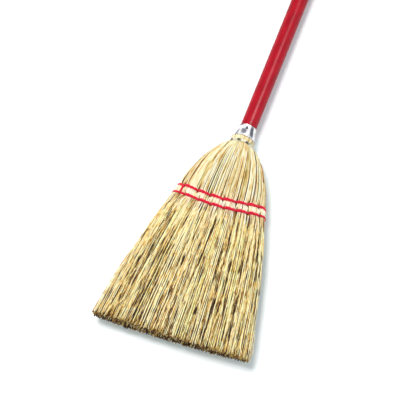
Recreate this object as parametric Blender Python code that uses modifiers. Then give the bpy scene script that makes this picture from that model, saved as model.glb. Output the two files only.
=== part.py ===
"""A flat straw broom: a turned wooden handle, straw bound on it with wire, and two sewn rows of twine.

Every piece is modelled upright, with Z along the handle, Z = 0 at the ferrule's lower edge and the
front face towards -Y. The whole broom then lies down on its back, as it rests on a floor.
"""

import math
import random

import bmesh
import bpy
import numpy as np
from mathutils import Vector

# Fits
SEAT_GAP = 0.0003
STRAW_GAP = 0.0005
OVERRUN = 0.004
WELD_DISTANCE = 0.00001

# Handle: a turned stick whose lower end tapers inside the straw
HANDLE_DIAMETER = 0.0222
HANDLE_ABOVE = 0.680
HANDLE_END_ROUND = 0.009
HANDLE_END_STEPS = 6
TENON_DEPTH = 0.082
TENON_TIP_DIAMETER = 0.014
TENON_SHOULDER_DEPTH = 0.008
TENON_TIP_CHAMFER = 0.0015
HANDLE_STEPS = 32

# Ferrule: a spun cap of thin tinplate
FERRULE_LENGTH = 0.019
FERRULE_MOUTH_CLEARANCE = 0.0012
FERRULE_WALL = 0.0005
FERRULE_STEPS = 32
# Height, and how far the wall has opened from the handle to the mouth
FERRULE_PROFILE_SHARES = (
    (1.0, 0.15), (0.97, 0.06), (0.93, 0.0), (0.79, 0.0), (0.68, 0.09),
    (0.53, 0.44), (0.37, 0.735), (0.16, 0.91), (0.0, 1.0),
)

# Straw head: collar of butts, wire groove, shoulders, sewn rows and loose sweeping end
STRAW_LENGTH = 0.3045
HEAD_WIDTH = 0.214
BELLY_THICKNESS = 0.040
COLLAR_THICKNESS = 0.0049
COLLAR_LENGTH = 0.0056
COLLAR_ROUND = 0.0006
COVER_THICKNESS = 0.0038
CORE_TOP_BELOW_SHOULDER = 0.0065
CORE_TOP_STEP = 0.0010
CORE_WIDTH_SHARE = 0.575
SHOULDER_EDGE_SHARE = 0.965
BACKING_BELOW_ROWS = 0.009
HEAD_LEAN_DEGREES = 1.75
ROW_BOW = 0.0076
TRIM_BOW_SHARE = 0.26
# Depth of straw length, half width of head width, half thickness of belly, squareness of section
HEAD_OUTLINE_SHARES = (
    (0.0375, 0.182, 0.85, 2.0), (0.0576, 0.241, 0.925, 2.1), (0.0896, 0.310, 0.975, 2.3),
    (0.1227, 0.374, 0.995, 2.5), (0.1557, 0.421, 1.000, 2.6), (0.2218, 0.498, 0.960, 2.8),
    (0.2870, 0.553, 0.840, 3.0), (0.3460, 0.600, 0.770, 3.1), (0.4512, 0.688, 0.710, 3.3),
    (0.6485, 0.820, 0.615, 3.6), (0.8128, 0.909, 0.530, 3.8), (1.0000, 1.000, 0.440, 4.0),
)
SHOULDER_LEVELS = 8
SHOULDER_LEVEL_POWER = 1.4
COVER_SEGMENTS = 18
CORE_SEGMENTS = 8
SHOULDER_SEGMENTS = 6
# The belly is worn flat by this much where the broom lies on it
BELLY_FLAT_DEPTH = 0.0005

# Loose straw below the backing
STRAND_SEAT = 0.0015
STRAND_ROOT_FILL = 0.80
STRAND_TIP_FILL = 0.70
STRAND_TIP_WANDER = 0.12
STRAND_SHORTEST_CUT = 0.009
STRAND_SHORT_SHARE = 0.3
COVER_STRANDS = 90
CORE_STRANDS = (16, 4)
SHOULDER_STRANDS = (7, 4)
STRAW_SEED = 7

# Binding wire: turns in the groove, a rise through the side seam, turns on the handle
WIRE_DIAMETER = 0.0012
WIRE_PITCH = 0.0017
GROOVE_TURNS = 2
HANDLE_TURNS = 2
TURN_POINTS = 24
GROOVE_DEPTH_SHARE = 0.9
WIRE_START_HEIGHT = 0.0015
WIRE_RISE_POINTS = 6
WIRE_TUCK = 0.0022

# Nail that holds the upper end of the wire
NAIL_DIAMETER = 0.0014
NAIL_HEAD_DIAMETER = 0.0036
NAIL_HEAD_THICKNESS = 0.0006
NAIL_LENGTH = 0.009
NAIL_POINT = 0.0018
NAIL_STEPS = 12

# Stitching: two rows of one twine
TWINE_DIAMETER = 0.0016
TWINE_GAP = 0.00045
UPPER_ROW_DEPTH = 0.0943
ROW_SPACING = 0.012
ROW_DIP = 0.0013
SLIT_SIDE_CLEARANCE = 0.0007
TWINE_DIVE = 0.0018
TWINE_TAIL = 0.009
BAND_POINT_SPACING = 0.0080
EDGE_CROWDING_SHARE = 0.5
# Where a stitch climbs over the wrap, in shares of its reach to either side of the row
SLANT_CLIMB_SHARE = 0.8
LOCK_CLIMB_SHARE = 0.55
# How a wrap slides aside for its own start and end, in shares of that reach and of the way
SIDE_STEP_SHARE = 0.6
EDGE_STEP_SHARE = 0.75
LINK_STEP_SHARE = 0.45
WRAP_MARGIN_SHARE = 0.01
# Places of the stitches from the middle, in half widths of the row
UPPER_STITCH_SHARES = (-0.86, -0.515, -0.222, 0.082, 0.38, 0.632, 0.88)
LOWER_STITCH_SHARES = (-0.735, -0.42, -0.14, 0.149, 0.416, 0.665, 0.905)
LINK_STITCH_SHARE = -0.865

handle_radius = HANDLE_DIAMETER / 2
wire_radius = WIRE_DIAMETER / 2
twine_radius = TWINE_DIAMETER / 2
collar_radius = handle_radius + COLLAR_THICKNESS
handle_turn_radius = handle_radius + SEAT_GAP + wire_radius
ferrule_mouth_radius = handle_turn_radius + wire_radius + FERRULE_MOUTH_CLEARANCE
groove_radius = collar_radius - WIRE_DIAMETER * GROOVE_DEPTH_SHARE - SEAT_GAP
wire_turn_radius = groove_radius + SEAT_GAP + wire_radius
wire_top = WIRE_START_HEIGHT + WIRE_PITCH * HANDLE_TURNS
nail_height = wire_top + wire_radius + SEAT_GAP + NAIL_HEAD_DIAMETER / 2
groove_edge = SEAT_GAP
groove_length = WIRE_PITCH * GROOVE_TURNS + WIRE_DIAMETER + 4 * groove_edge
shoulder_depth = COLLAR_LENGTH + groove_length
core_top_depth = shoulder_depth + CORE_TOP_BELOW_SHOULDER
lower_row_depth = UPPER_ROW_DEPTH + ROW_SPACING
row_dip_reach = ROW_SPACING / 2
backing_depth = lower_row_depth + BACKING_BELOW_ROWS
band_lift = twine_radius + 2 * SEAT_GAP
stitch_lift = band_lift + TWINE_DIAMETER + TWINE_GAP
stitch_reach = TWINE_DIAMETER + TWINE_GAP * 1.5
slit_width = TWINE_DIAMETER + 2 * SLIT_SIDE_CLEARANCE
slit_length = 2 * stitch_reach + slit_width


def clear_scene():
    """Remove what the file opens with."""
    for item in list(bpy.data.objects):
        bpy.data.objects.remove(item, do_unlink=True)


clear_scene()
broom = bpy.data.collections.new("straw_broom")
cutters = bpy.data.collections.new("cutters")
bpy.context.scene.collection.children.link(broom)
bpy.context.scene.collection.children.link(cutters)

lying = bpy.data.objects.new("lying", None)
broom.objects.link(lying)


def finish(name, colour, roughness, metallic=0.0, coat=0.0):
    """A plain finish for one sub-part."""
    material = bpy.data.materials.new(name)
    material.use_nodes = True
    shader = material.node_tree.nodes["Principled BSDF"]
    shader.inputs["Base Color"].default_value = (*colour, 1.0)
    shader.inputs["Roughness"].default_value = roughness
    shader.inputs["Metallic"].default_value = metallic
    shader.inputs["Coat Weight"].default_value = coat
    return material


def add_object(name, data, collection, material=None):
    """Put a mesh or curve in the broom's upright frame."""
    item = bpy.data.objects.new(name, data)
    collection.objects.link(item)
    item.parent = lying
    if material:
        data.materials.append(material)
    if collection is cutters:
        item.hide_render = True
        item.display_type = "WIRE"
    return item


def closed_mesh(name, vertices, faces):
    """A mesh from corners and faces, with every face turned outwards."""
    mesh = bpy.data.meshes.new(name)
    mesh.from_pydata([tuple(v) for v in vertices], [], faces)
    shape = bmesh.new()
    shape.from_mesh(mesh)
    bmesh.ops.recalc_face_normals(shape, faces=shape.faces)
    shape.to_mesh(mesh)
    shape.free()
    return mesh


def turned(name, profile, steps, collection, material=None):
    """A piece turned about Z from (radius, height) points that run from top to bottom."""
    mesh = bpy.data.meshes.new(name)
    corners = [(radius, 0.0, height) for radius, height in profile]
    mesh.from_pydata(corners, [(i, i + 1) for i in range(len(corners) - 1)], [])
    item = add_object(name, mesh, collection, material)
    screw = item.modifiers.new("turned", "SCREW")
    screw.angle = math.radians(360)
    screw.steps = steps
    screw.render_steps = steps
    screw.use_merge_vertices = True
    screw.merge_threshold = WELD_DISTANCE
    screw.use_smooth_shade = True
    return item


def subtract(item, cutter, name):
    """Cut one piece with another."""
    cut = item.modifiers.new(name, "BOOLEAN")
    cut.operation = "DIFFERENCE"
    cut.solver = "EXACT"
    cut.object = cutter


def least_gap(points, diameter):
    """The smallest gap that a round cord along these points leaves to itself."""
    path = np.array(points)
    lengths = np.linalg.norm(np.diff(path, axis=0), axis=1)
    along = np.concatenate([[0.0], np.cumsum(lengths)])
    count = int(along[-1] / (diameter / 3))
    places = np.linspace(0.0, along[-1], count)
    dense = np.stack([np.interp(places, along, path[:, axis]) for axis in range(3)], axis=1)
    apart = np.linalg.norm(dense[:, None, :] - dense[None, :, :], axis=2)
    neighbours = np.abs(places[:, None] - places[None, :]) < diameter * 2.5
    apart[neighbours] = np.inf
    return apart.min() - diameter


def cord(name, points, diameter, material):
    """A round cord or wire through a list of points, as one closed tube."""
    curve = bpy.data.curves.new(name, "CURVE")
    curve.dimensions = "3D"
    curve.bevel_depth = diameter / 2
    curve.bevel_resolution = 1
    curve.use_fill_caps = True
    spline = curve.splines.new("POLY")
    spline.points.add(len(points) - 1)
    for point, place in zip(spline.points, points):
        point.co = (*place, 1.0)
    gap = least_gap(points, diameter)
    print(f"{name}: {len(points)} points, least gap to itself {gap:.5f} m")
    return add_object(name, curve, broom, material)


# The outline of the head

# Squareness of a true ellipse or circle, and the points that measure an oval's length
ROUND = 2.0
OVAL_POINTS = 400


def smooth_value(place, places, values):
    """A smooth curve through a table of values, with the slopes of its neighbours."""
    slopes = np.gradient(values, places)
    index = int(np.clip(np.searchsorted(places, place) - 1, 0, len(places) - 2))
    span = places[index + 1] - places[index]
    t = min(max((place - places[index]) / span, 0.0), 1.0)
    start, end = values[index], values[index + 1]
    rise_start, rise_end = slopes[index] * span, slopes[index + 1] * span
    return (
        (2 * t ** 3 - 3 * t ** 2 + 1) * start + (t ** 3 - 2 * t ** 2 + t) * rise_start
        + (3 * t ** 2 - 2 * t ** 3) * end + (t ** 3 - t ** 2) * rise_end
    )


outline_table = np.array(HEAD_OUTLINE_SHARES)


def head_outline(depth):
    """Half width, half thickness and squareness of the head at a depth below the ferrule."""
    depths = outline_table[:, 0] * STRAW_LENGTH
    width = smooth_value(depth, depths, outline_table[:, 1] * HEAD_WIDTH / 2)
    thickness = smooth_value(depth, depths, outline_table[:, 2] * BELLY_THICKNESS / 2)
    squareness = smooth_value(depth, depths, outline_table[:, 3])
    dip = 0.0
    for row in (UPPER_ROW_DEPTH, lower_row_depth):
        dip = max(dip, ROW_DIP * (1 - abs(depth - row) / row_dip_reach))
    return width - dip, thickness - dip, squareness


def oval(width, thickness, squareness, segments):
    """Evenly spaced points along the front half of a squared oval, from +X to -X."""
    angles = np.linspace(0.0, math.pi, OVAL_POINTS)
    across = np.sign(np.cos(angles)) * np.abs(np.cos(angles)) ** (2 / squareness)
    out = np.abs(np.sin(angles)) ** (2 / squareness)
    points = np.stack([width * across, -thickness * out], axis=1)
    steps = np.linalg.norm(np.diff(points, axis=0), axis=1)
    along = np.concatenate([[0.0], np.cumsum(steps)])
    places = np.linspace(0.0, along[-1], segments + 1)
    return np.stack([np.interp(places, along, points[:, axis]) for axis in range(2)], axis=1)


def settle(x, y, depth):
    """Bow the sewn rows towards the tips in the middle, and lean the head to one side."""
    start, row = shoulder_depth, UPPER_ROW_DEPTH
    if depth <= backing_depth:
        t = min(max((depth - start) / (row - start), 0.0), 1.0)
        strength = t * t * (3 - 2 * t)
    else:
        down = (depth - backing_depth) / (STRAW_LENGTH - backing_depth)
        strength = 1 - (1 - TRIM_BOW_SHARE) * down
    width = head_outline(max(depth, start))[0]
    bow = ROW_BOW * strength * max(1 - (x / width) ** 2, 0.0)
    lean = math.radians(HEAD_LEAN_DEGREES)
    below = max(depth + bow - start, 0.0)
    blend = min(below / (UPPER_ROW_DEPTH - start), 1.0)
    blend = blend * (2 - blend)
    return (x + below * math.tan(lean), y, -(depth + bow) + x * math.sin(lean) * blend)


def cover_section(depth):
    """Outer and inner line of the front cover at a depth, and half of its side seam."""
    wire_slot = wire_radius + SEAT_GAP
    if depth < shoulder_depth - WELD_DISTANCE:
        outer = collar_outline(depth)
        seam = wire_slot
    else:
        outer = head_outline(depth)
        seam = SEAT_GAP / 2
    if depth <= core_top_depth + WELD_DISTANCE:
        radius = handle_radius + SEAT_GAP
        inner = (radius, radius, ROUND)
    else:
        inner = (outer[0] - COVER_THICKNESS, outer[1] - COVER_THICKNESS, outer[2])
    lines = []
    for width, thickness, squareness in (outer, inner):
        line = oval(width, thickness, squareness, COVER_SEGMENTS)
        line[:, 1] = -np.maximum(np.abs(line[:, 1]), seam)
        lines.append(line)
    return lines


def collar_outline(depth):
    """Round neck above the shoulders: the collar, then the groove for the wire."""
    if depth < COLLAR_ROUND:
        radius = collar_radius - COLLAR_ROUND
    elif depth < COLLAR_LENGTH + WELD_DISTANCE:
        radius = collar_radius
    else:
        radius = groove_radius
    return radius, radius, ROUND


def inner_half_thickness(depth, x):
    """How far the inner straw reaches from the middle before it meets the cover."""
    inner = cover_section(depth)[1]
    order = np.argsort(inner[:, 0])
    return np.interp(x, inner[order, 0], -inner[order, 1]) - STRAW_GAP


def core_section(depth):
    """Front and back line of the core at a depth."""
    reach = cover_section(depth)[1][:, 0].max() * CORE_WIDTH_SHARE - STRAW_GAP / 2
    x = np.linspace(-reach, reach, CORE_SEGMENTS + 1)
    y = inner_half_thickness(depth, x)
    return [np.stack([x, -y], axis=1), np.stack([x, y], axis=1)]


def shoulder_section(depth, side):
    """Front and back line of one shoulder at a depth."""
    edge = cover_section(depth)[1][:, 0].max()
    inner = edge * CORE_WIDTH_SHARE + STRAW_GAP / 2
    outer = edge * SHOULDER_EDGE_SHARE - STRAW_GAP
    share = np.sin(np.linspace(0.0, math.pi / 2, SHOULDER_SEGMENTS + 1))
    x = inner + (outer - inner) * share
    y = inner_half_thickness(depth, x)
    return [np.stack([side * x, -y], axis=1), np.stack([side * x, y], axis=1)]


def lofted(name, section, depths):
    """A closed solid through the settled sections at these depths, capped at both ends."""
    vertices = []
    for depth in depths:
        first, second = section(depth)
        for x, y in [*first, *second[::-1]]:
            vertices.append(settle(x, y, depth))
    ring = len(vertices) // len(depths)
    half = ring // 2
    faces = []
    for level in range(len(depths) - 1):
        for i in range(ring):
            a = level * ring + i
            b = level * ring + (i + 1) % ring
            faces.append((a, b, b + ring, a + ring))
    for base in (0, (len(depths) - 1) * ring):
        for i in range(half - 1):
            j = ring - 1 - i
            faces.append((base + i, base + i + 1, base + j - 1, base + j))
    return closed_mesh(name, vertices, faces)


def strand_corners(section, depth, cell, fill, wander):
    """The corners of one strand inside its cell of a section, settled in place."""
    (u_low, u_high), (v_low, v_high), pointed = cell
    first, second = section(depth)
    u_middle, u_half = (u_low + u_high) / 2, (u_high - u_low) / 2 * fill
    v_middle, v_half = (v_low + v_high) / 2, (v_high - v_low) / 2 * fill
    u_middle += wander * (u_high - u_low)
    u_near, u_far = u_middle - u_half, u_middle + u_half
    v_near, v_far = v_middle - v_half, v_middle + v_half
    if pointed == "round":
        places = [(u_near, v_near), (u_far, v_near), (u_far, v_far), (u_near, v_far)]
    elif pointed == "up":
        places = [(u_near, v_near), (u_far, v_near), (u_middle, v_far)]
    else:
        places = [(u_near, v_far), (u_far, v_far), (u_middle, v_near)]
    corners = []
    index = np.arange(len(first))
    for u, v in places:
        spot = u * (len(first) - 1)
        here = [
            np.interp(spot, index, first[:, axis]) * (1 - v) + np.interp(spot, index, second[:, axis]) * v
            for axis in range(2)
        ]
        corners.append(np.array(settle(here[0], here[1], depth)))
    return corners


def strands(name, section, columns, rows, sides, seed):
    """Straight straws from the backing to the trimmed end, each inside a cell of its own."""
    chance = random.Random(seed)
    vertices, faces = [], []
    root_depth = backing_depth - STRAND_SEAT
    for column in range(columns):
        for row in range(rows):
            pointed = "round"
            if sides == 3:
                pointed = "up" if (column + row) % 2 else "down"
            cell = ((column / columns, (column + 1) / columns), (row / rows, (row + 1) / rows), pointed)
            wander = chance.uniform(-STRAND_TIP_WANDER, STRAND_TIP_WANDER)
            root = strand_corners(section, root_depth, cell, STRAND_ROOT_FILL, 0.0)
            tip = strand_corners(section, STRAW_LENGTH, cell, STRAND_TIP_FILL, wander)
            cut = 0.0
            if chance.random() < STRAND_SHORT_SHARE:
                cut = chance.uniform(0.0, STRAND_SHORTEST_CUT) / STRAW_LENGTH
            tip = [end + (start - end) * cut for start, end in zip(root, tip)]
            base = len(vertices)
            count = len(root)
            vertices.extend(root + tip)
            faces.append(tuple(base + i for i in range(count)))
            faces.append(tuple(base + count + i for i in reversed(range(count))))
            for i in range(count):
                j = (i + 1) % count
                faces.append((base + i, base + j, base + count + j, base + count + i))
    return closed_mesh(name, vertices, faces)


def straw_bundle(name, section, depths, columns, rows, sides, seed, material):
    """One bundle: a bound solid above the backing's end, and loose straws fused to it below."""
    item = add_object(name, lofted(name, section, depths), broom, material)
    loose_mesh = strands(name + "_loose", section, columns, rows, sides, seed)
    loose = add_object(name + "_loose", loose_mesh, cutters)
    join = item.modifiers.new("loose straws", "BOOLEAN")
    join.operation = "UNION"
    join.solver = "EXACT"
    join.object = loose
    return item


# Levels down the bound part of the head

row_levels = [UPPER_ROW_DEPTH + row_dip_reach * step for step in range(-1, 4)]
first_row_level = row_levels[0]
shoulder_steps = np.linspace(0.0, 1.0, SHOULDER_LEVELS) ** SHOULDER_LEVEL_POWER
lower_levels = [*row_levels, backing_depth]
cover_levels = [
    SEAT_GAP, SEAT_GAP + COLLAR_ROUND, COLLAR_LENGTH, COLLAR_LENGTH + groove_edge,
    shoulder_depth - groove_edge, shoulder_depth, core_top_depth, core_top_depth + CORE_TOP_STEP,
]
core_top = core_top_depth + CORE_TOP_STEP + STRAW_GAP
below_core_top = core_top + (first_row_level - core_top) * shoulder_steps
cover_levels.extend(below_core_top[1:-1])
cover_levels.extend(lower_levels)
inner_levels = [*below_core_top[:-1], *lower_levels]


# Straw

straw_finish = finish("straw", (0.78, 0.62, 0.33), 0.6)
cover_finish = finish("hurl_straw", (0.85, 0.72, 0.42), 0.55)

front_cover = straw_bundle(
    "front_cover_straw", cover_section, cover_levels, COVER_STRANDS, 1, 4, STRAW_SEED, cover_finish
)


def back_cover_section(depth):
    """The front cover's section, mirrored to the back."""
    return [line * (1, -1) for line in cover_section(depth)]


back_cover = straw_bundle(
    "back_cover_straw", back_cover_section, cover_levels, COVER_STRANDS, 1, 4, STRAW_SEED + 1, cover_finish
)
core = straw_bundle(
    "core_straw", core_section, inner_levels, *CORE_STRANDS, 3, STRAW_SEED + 2, straw_finish
)
left_shoulder = straw_bundle(
    "left_shoulder_straw", lambda depth: shoulder_section(depth, -1), inner_levels, *SHOULDER_STRANDS, 3,
    STRAW_SEED + 3, straw_finish
)
right_shoulder = straw_bundle(
    "right_shoulder_straw", lambda depth: shoulder_section(depth, 1), inner_levels, *SHOULDER_STRANDS, 3,
    STRAW_SEED + 4, straw_finish
)


# Handle


def tenon_profile(clearance, top):
    """The tapered lower end as (radius, height), from a height down to its tip."""
    tip = TENON_TIP_DIAMETER / 2
    return [
        (handle_radius + clearance, top),
        (handle_radius + clearance, -TENON_SHOULDER_DEPTH),
        (tip + clearance, -TENON_DEPTH + TENON_TIP_CHAMFER),
        (tip + clearance - TENON_TIP_CHAMFER, -TENON_DEPTH - clearance),
        (0.0, -TENON_DEPTH - clearance),
    ]


def handle_profile():
    """The whole stick: rounded top, straight shank and tapered end."""
    points = [(0.0, HANDLE_ABOVE)]
    for angle in np.linspace(math.pi / 2, 0.0, HANDLE_END_STEPS + 1)[1:]:
        radius = handle_radius * math.cos(angle)
        points.append((radius, HANDLE_ABOVE - HANDLE_END_ROUND * (1 - math.sin(angle))))
    return points + tenon_profile(0.0, FERRULE_LENGTH)


lacquer = finish("red_lacquer", (0.55, 0.01, 0.03), 0.25, coat=0.6)
handle = turned("handle", handle_profile(), HANDLE_STEPS, broom, lacquer)
space_profile = [(0.0, OVERRUN), *tenon_profile(STRAW_GAP, OVERRUN)]
tenon_space = turned("tenon_space", space_profile, HANDLE_STEPS, cutters)
subtract(core, tenon_space, "hole for the handle")


# Nail


def nail_profile(clearance, head_out):
    """The nail as (radius, height) above the handle's surface, from its head to its point."""
    radius = NAIL_DIAMETER / 2 + clearance
    tip = -NAIL_LENGTH - clearance
    return [
        (0.0, head_out), (radius, head_out), (radius, tip + NAIL_POINT), (0.0, tip),
    ]


steel = finish("bright_steel", (0.62, 0.63, 0.64), 0.3, metallic=1.0)
nail_points = nail_profile(0.0, SEAT_GAP)
head_top = SEAT_GAP + NAIL_HEAD_THICKNESS
nail_points[:2] = [
    (0.0, head_top), (NAIL_HEAD_DIAMETER / 2, head_top), (NAIL_HEAD_DIAMETER / 2, SEAT_GAP),
    (NAIL_DIAMETER / 2, SEAT_GAP),
]
nail = turned("wire_nail", nail_points, NAIL_STEPS, broom, steel)
nail_hole = turned("nail_hole", nail_profile(SEAT_GAP, OVERRUN), NAIL_STEPS, cutters)
for item in (nail, nail_hole):
    item.location = (handle_radius, 0.0, nail_height)
    item.rotation_euler = (0.0, math.radians(90), 0.0)
subtract(handle, nail_hole, "hole for the nail")


# Ferrule


def ferrule_profile():
    """Inner face of the cap, from its rim on the handle down to its mouth."""
    seat = handle_radius + SEAT_GAP
    opening = ferrule_mouth_radius - seat
    return [(seat + share * opening, height * FERRULE_LENGTH) for height, share in FERRULE_PROFILE_SHARES]


tinplate = finish("tinplate", (0.75, 0.76, 0.78), 0.22, metallic=1.0)
ferrule = turned("ferrule", ferrule_profile(), FERRULE_STEPS, broom, tinplate)
wall = ferrule.modifiers.new("sheet", "SOLIDIFY")
wall.thickness = FERRULE_WALL
wall.offset = 1.0


# Binding wire


def wire_points():
    """The wire's centre line, from its tucked end in the groove to the nail."""
    def at(angle, radius, height):
        return Vector((radius * math.cos(angle), radius * math.sin(angle), height))

    high = -(COLLAR_LENGTH + 2 * groove_edge + wire_radius)
    low = high - WIRE_PITCH * GROOVE_TURNS
    full = math.radians(360)
    points = [
        at(0.0, wire_turn_radius - WIRE_TUCK, low), at(0.0, wire_turn_radius - wire_radius, low),
        at(full / TURN_POINTS / 4, wire_turn_radius, low),
    ]
    for i in range(1, GROOVE_TURNS * TURN_POINTS):
        turn = i / TURN_POINTS
        points.append(at(turn * full, wire_turn_radius, low + WIRE_PITCH * turn))
    for share in np.linspace(0.0, 1.0, WIRE_RISE_POINTS):
        radius = wire_turn_radius + (handle_turn_radius - wire_turn_radius) * share
        height = high + (WIRE_START_HEIGHT - high) * share
        points.append(at(0.0, radius, height))
    for i in range(1, HANDLE_TURNS * TURN_POINTS + 1):
        turn = i / TURN_POINTS
        points.append(at(turn * full, handle_turn_radius, WIRE_START_HEIGHT + WIRE_PITCH * turn))
    return points


wire = cord("binding_wire", wire_points(), WIRE_DIAMETER, steel)


# Needle slits


def slit_mesh():
    """A narrow box through the head at each stitch of both rows."""
    mesh = bpy.data.meshes.new("needle_slits")
    shape = bmesh.new()
    lower_shares = (LINK_STITCH_SHARE, *LOWER_STITCH_SHARES)
    for depth, shares in ((UPPER_ROW_DEPTH, UPPER_STITCH_SHARES), (lower_row_depth, lower_shares)):
        for share in shares:
            made = bmesh.ops.create_cube(shape, size=1.0)
            x = share * head_outline(depth)[0]
            for vertex in made["verts"]:
                side, out, up = vertex.co
                place = settle(x + side * slit_width, out * BELLY_THICKNESS * 2, depth - up * slit_length)
                vertex.co = place
    bmesh.ops.recalc_face_normals(shape, faces=shape.faces)
    shape.to_mesh(mesh)
    shape.free()
    return mesh


slits = add_object("needle_slits", slit_mesh(), cutters)
for item in (front_cover, back_cover, core, left_shoulder, right_shoulder):
    subtract(item, slits, "needle slits")


# Stitching twine


def row_line(depth, lift):
    """The front half of the line round the head at a depth, lifted off the straw."""
    width, thickness, squareness = head_outline(depth)
    return oval(width + lift, thickness + lift, squareness, OVAL_POINTS)


def row_place(row, along, height, lift):
    """A point beside a row: share of the way round it, height above it, lift off the straw."""
    depth = row - height
    half = row_line(depth, lift)
    turn = along % 1.0
    share = turn if turn <= 0.5 else 1.0 - turn
    index = np.linspace(0.0, 0.5, len(half))
    x, y = (np.interp(share, index, half[:, axis]) for axis in range(2))
    return settle(x, y if turn <= 0.5 else -y, depth)


def row_share(row, x):
    """The share of the way round a row, from the right edge over the front, where x is met."""
    half = row_line(row, 0.0)
    return np.interp(-x, -half[:, 0], np.linspace(0.0, 0.5, len(half)))


def row_length(row):
    """The way round the head at a row."""
    return 2 * np.linalg.norm(np.diff(row_line(row, band_lift), axis=0), axis=1).sum()


def band(row, shares, heights):
    """The wrap round a row through given shares of the way round and heights.

    Its points lie closer together round the narrow edges of the head than on its flat faces.
    """
    dense = np.linspace(shares[0], shares[-1], OVAL_POINTS)
    spacing = BAND_POINT_SPACING * (1 - EDGE_CROWDING_SHARE * np.cos(4 * math.pi * dense))
    steps = np.cumsum(row_length(row) * np.diff(dense, prepend=dense[0]) / spacing)
    places = np.interp(np.linspace(0.0, steps[-1], round(steps[-1]) + 1), steps, dense)
    return [row_place(row, place, np.interp(place, shares, heights), band_lift) for place in places]


def beside(row, x, height, side, lift):
    """A point at a place across a row, on one face of the head, lifted off the straw."""
    depth = row - height
    width, thickness, squareness = head_outline(depth)
    out = (1 - abs(x / (width + lift)) ** squareness) ** (1 / squareness)
    return settle(x, side * (thickness + lift) * out, depth)


def slanted_stitch(row, x_from, x_to, height_from):
    """One stitch over the band on the front, from slit to slit."""
    way = math.copysign(1.0, x_to - x_from)
    near, far = x_from + way * twine_radius, x_to - way * twine_radius
    clear = 3 * TWINE_DIAMETER
    return [
        beside(row, near, height_from, -1, band_lift + SEAT_GAP),
        beside(row, x_from + way * clear, height_from * SLANT_CLIMB_SHARE, -1, stitch_lift),
        beside(row, (x_from + x_to) / 2, 0.0, -1, stitch_lift),
        beside(row, x_to - way * clear, -height_from * SLANT_CLIMB_SHARE, -1, stitch_lift),
        beside(row, far, -height_from, -1, band_lift + SEAT_GAP),
    ]


def lock_stitch(row, x, height_from, side):
    """One short stitch over the band, straight along the straw."""
    return [
        beside(row, x, height_from, side, band_lift + SEAT_GAP * 2),
        beside(row, x, height_from * LOCK_CLIMB_SHARE, side, stitch_lift),
        beside(row, x, -height_from * LOCK_CLIMB_SHARE, side, stitch_lift),
        beside(row, x, -height_from, side, band_lift + SEAT_GAP * 2),
    ]


def through(row, x, height, side_from):
    """One pass through the head in a slit."""
    return [
        beside(row, x, height, side_from, -TWINE_DIVE),
        beside(row, x, height, -side_from, -TWINE_DIVE),
    ]


def twine_points():
    """The twine: upper wrap, upper row from right to left, link, lower wrap, lower row back."""
    upper, lower = UPPER_ROW_DEPTH, lower_row_depth
    upper_x = [share * head_outline(upper)[0] for share in UPPER_STITCH_SHARES][::-1]
    lower_x = [share * head_outline(lower)[0] for share in LOWER_STITCH_SHARES]
    link_x = LINK_STITCH_SHARE * head_outline(lower)[0]
    reach = stitch_reach
    side_step = reach * SIDE_STEP_SHARE
    near_edge = row_share(upper, upper_x[0]) * EDGE_STEP_SHARE

    points = band(
        upper, (-near_edge / 2, 0.0, near_edge, 1.0 - near_edge, 1.0, 1.0 + near_edge),
        (-side_step, -side_step, 0.0, 0.0, side_step, reach),
    )
    points.append(beside(upper, upper_x[0] + twine_radius, reach, -1, band_lift + SEAT_GAP))
    for i, x in enumerate(upper_x):
        points += through(upper, x, reach, -1)
        points += lock_stitch(upper, x, reach, 1)
        points += through(upper, x, -reach, 1)
        if i + 1 < len(upper_x):
            points += slanted_stitch(upper, x, upper_x[i + 1], -reach)

    points.append(beside(upper, upper_x[-1] - twine_radius, -reach, -1, band_lift))
    middle_x = (upper_x[-1] + link_x) / 2
    points.append(beside(upper, middle_x, -ROW_SPACING / 2, -1, band_lift))
    points.append(beside(lower, link_x + twine_radius, side_step + TWINE_DIAMETER, -1, band_lift))
    points += through(lower, link_x, reach, -1)

    start = 1.0 - row_share(lower, link_x)
    end = 1.0 - row_share(lower, lower_x[0])
    points.append(beside(lower, link_x, reach, 1, band_lift))
    settled = start + (end - start) * LINK_STEP_SHARE
    before_link = 1.0 + start - WRAP_MARGIN_SHARE
    before_end = 1.0 + end - 2 * WRAP_MARGIN_SHARE
    wrap = band(lower, (start, settled, 1.5, before_link, before_end), (side_step, 0.0, 0.0, -reach, -reach))
    points += wrap[1:]
    for i, x in enumerate(lower_x):
        if i:
            points += slanted_stitch(lower, lower_x[i - 1], x, reach)
            points += through(lower, x, -reach, -1)
        points += lock_stitch(lower, x, -reach, 1)
        if i + 1 < len(lower_x):
            points += through(lower, x, reach, 1)
    tail_share = 1.0 - row_share(lower, lower_x[-1])
    tail_reach = TWINE_TAIL / row_length(lower)
    points.append(row_place(lower, tail_share + tail_reach / 2, reach, band_lift))
    points.append(row_place(lower, tail_share + tail_reach, reach, band_lift))
    return points


twine_finish = finish("red_twine", (0.72, 0.01, 0.04), 0.6)
twine = cord("stitching_twine", twine_points(), TWINE_DIAMETER, twine_finish)


# The broom lies on its belly and on the end of its handle


def lay_down():
    """Turn the upright broom onto its back and set its lowest points on the floor."""
    belly = BELLY_THICKNESS / 2 - BELLY_FLAT_DEPTH
    belly_depth = STRAW_LENGTH * outline_table[outline_table[:, 2].argmax(), 0]
    rest_span = HANDLE_ABOVE - HANDLE_END_ROUND + belly_depth
    tilt = math.atan2(belly - handle_radius, rest_span)
    lying.rotation_euler = (math.radians(-90) - tilt, 0.0, 0.0)
    bpy.context.view_layer.update()
    contact = lying.matrix_world @ Vector((0.0, belly, -belly_depth))
    lying.location.z = -contact.z


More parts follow.
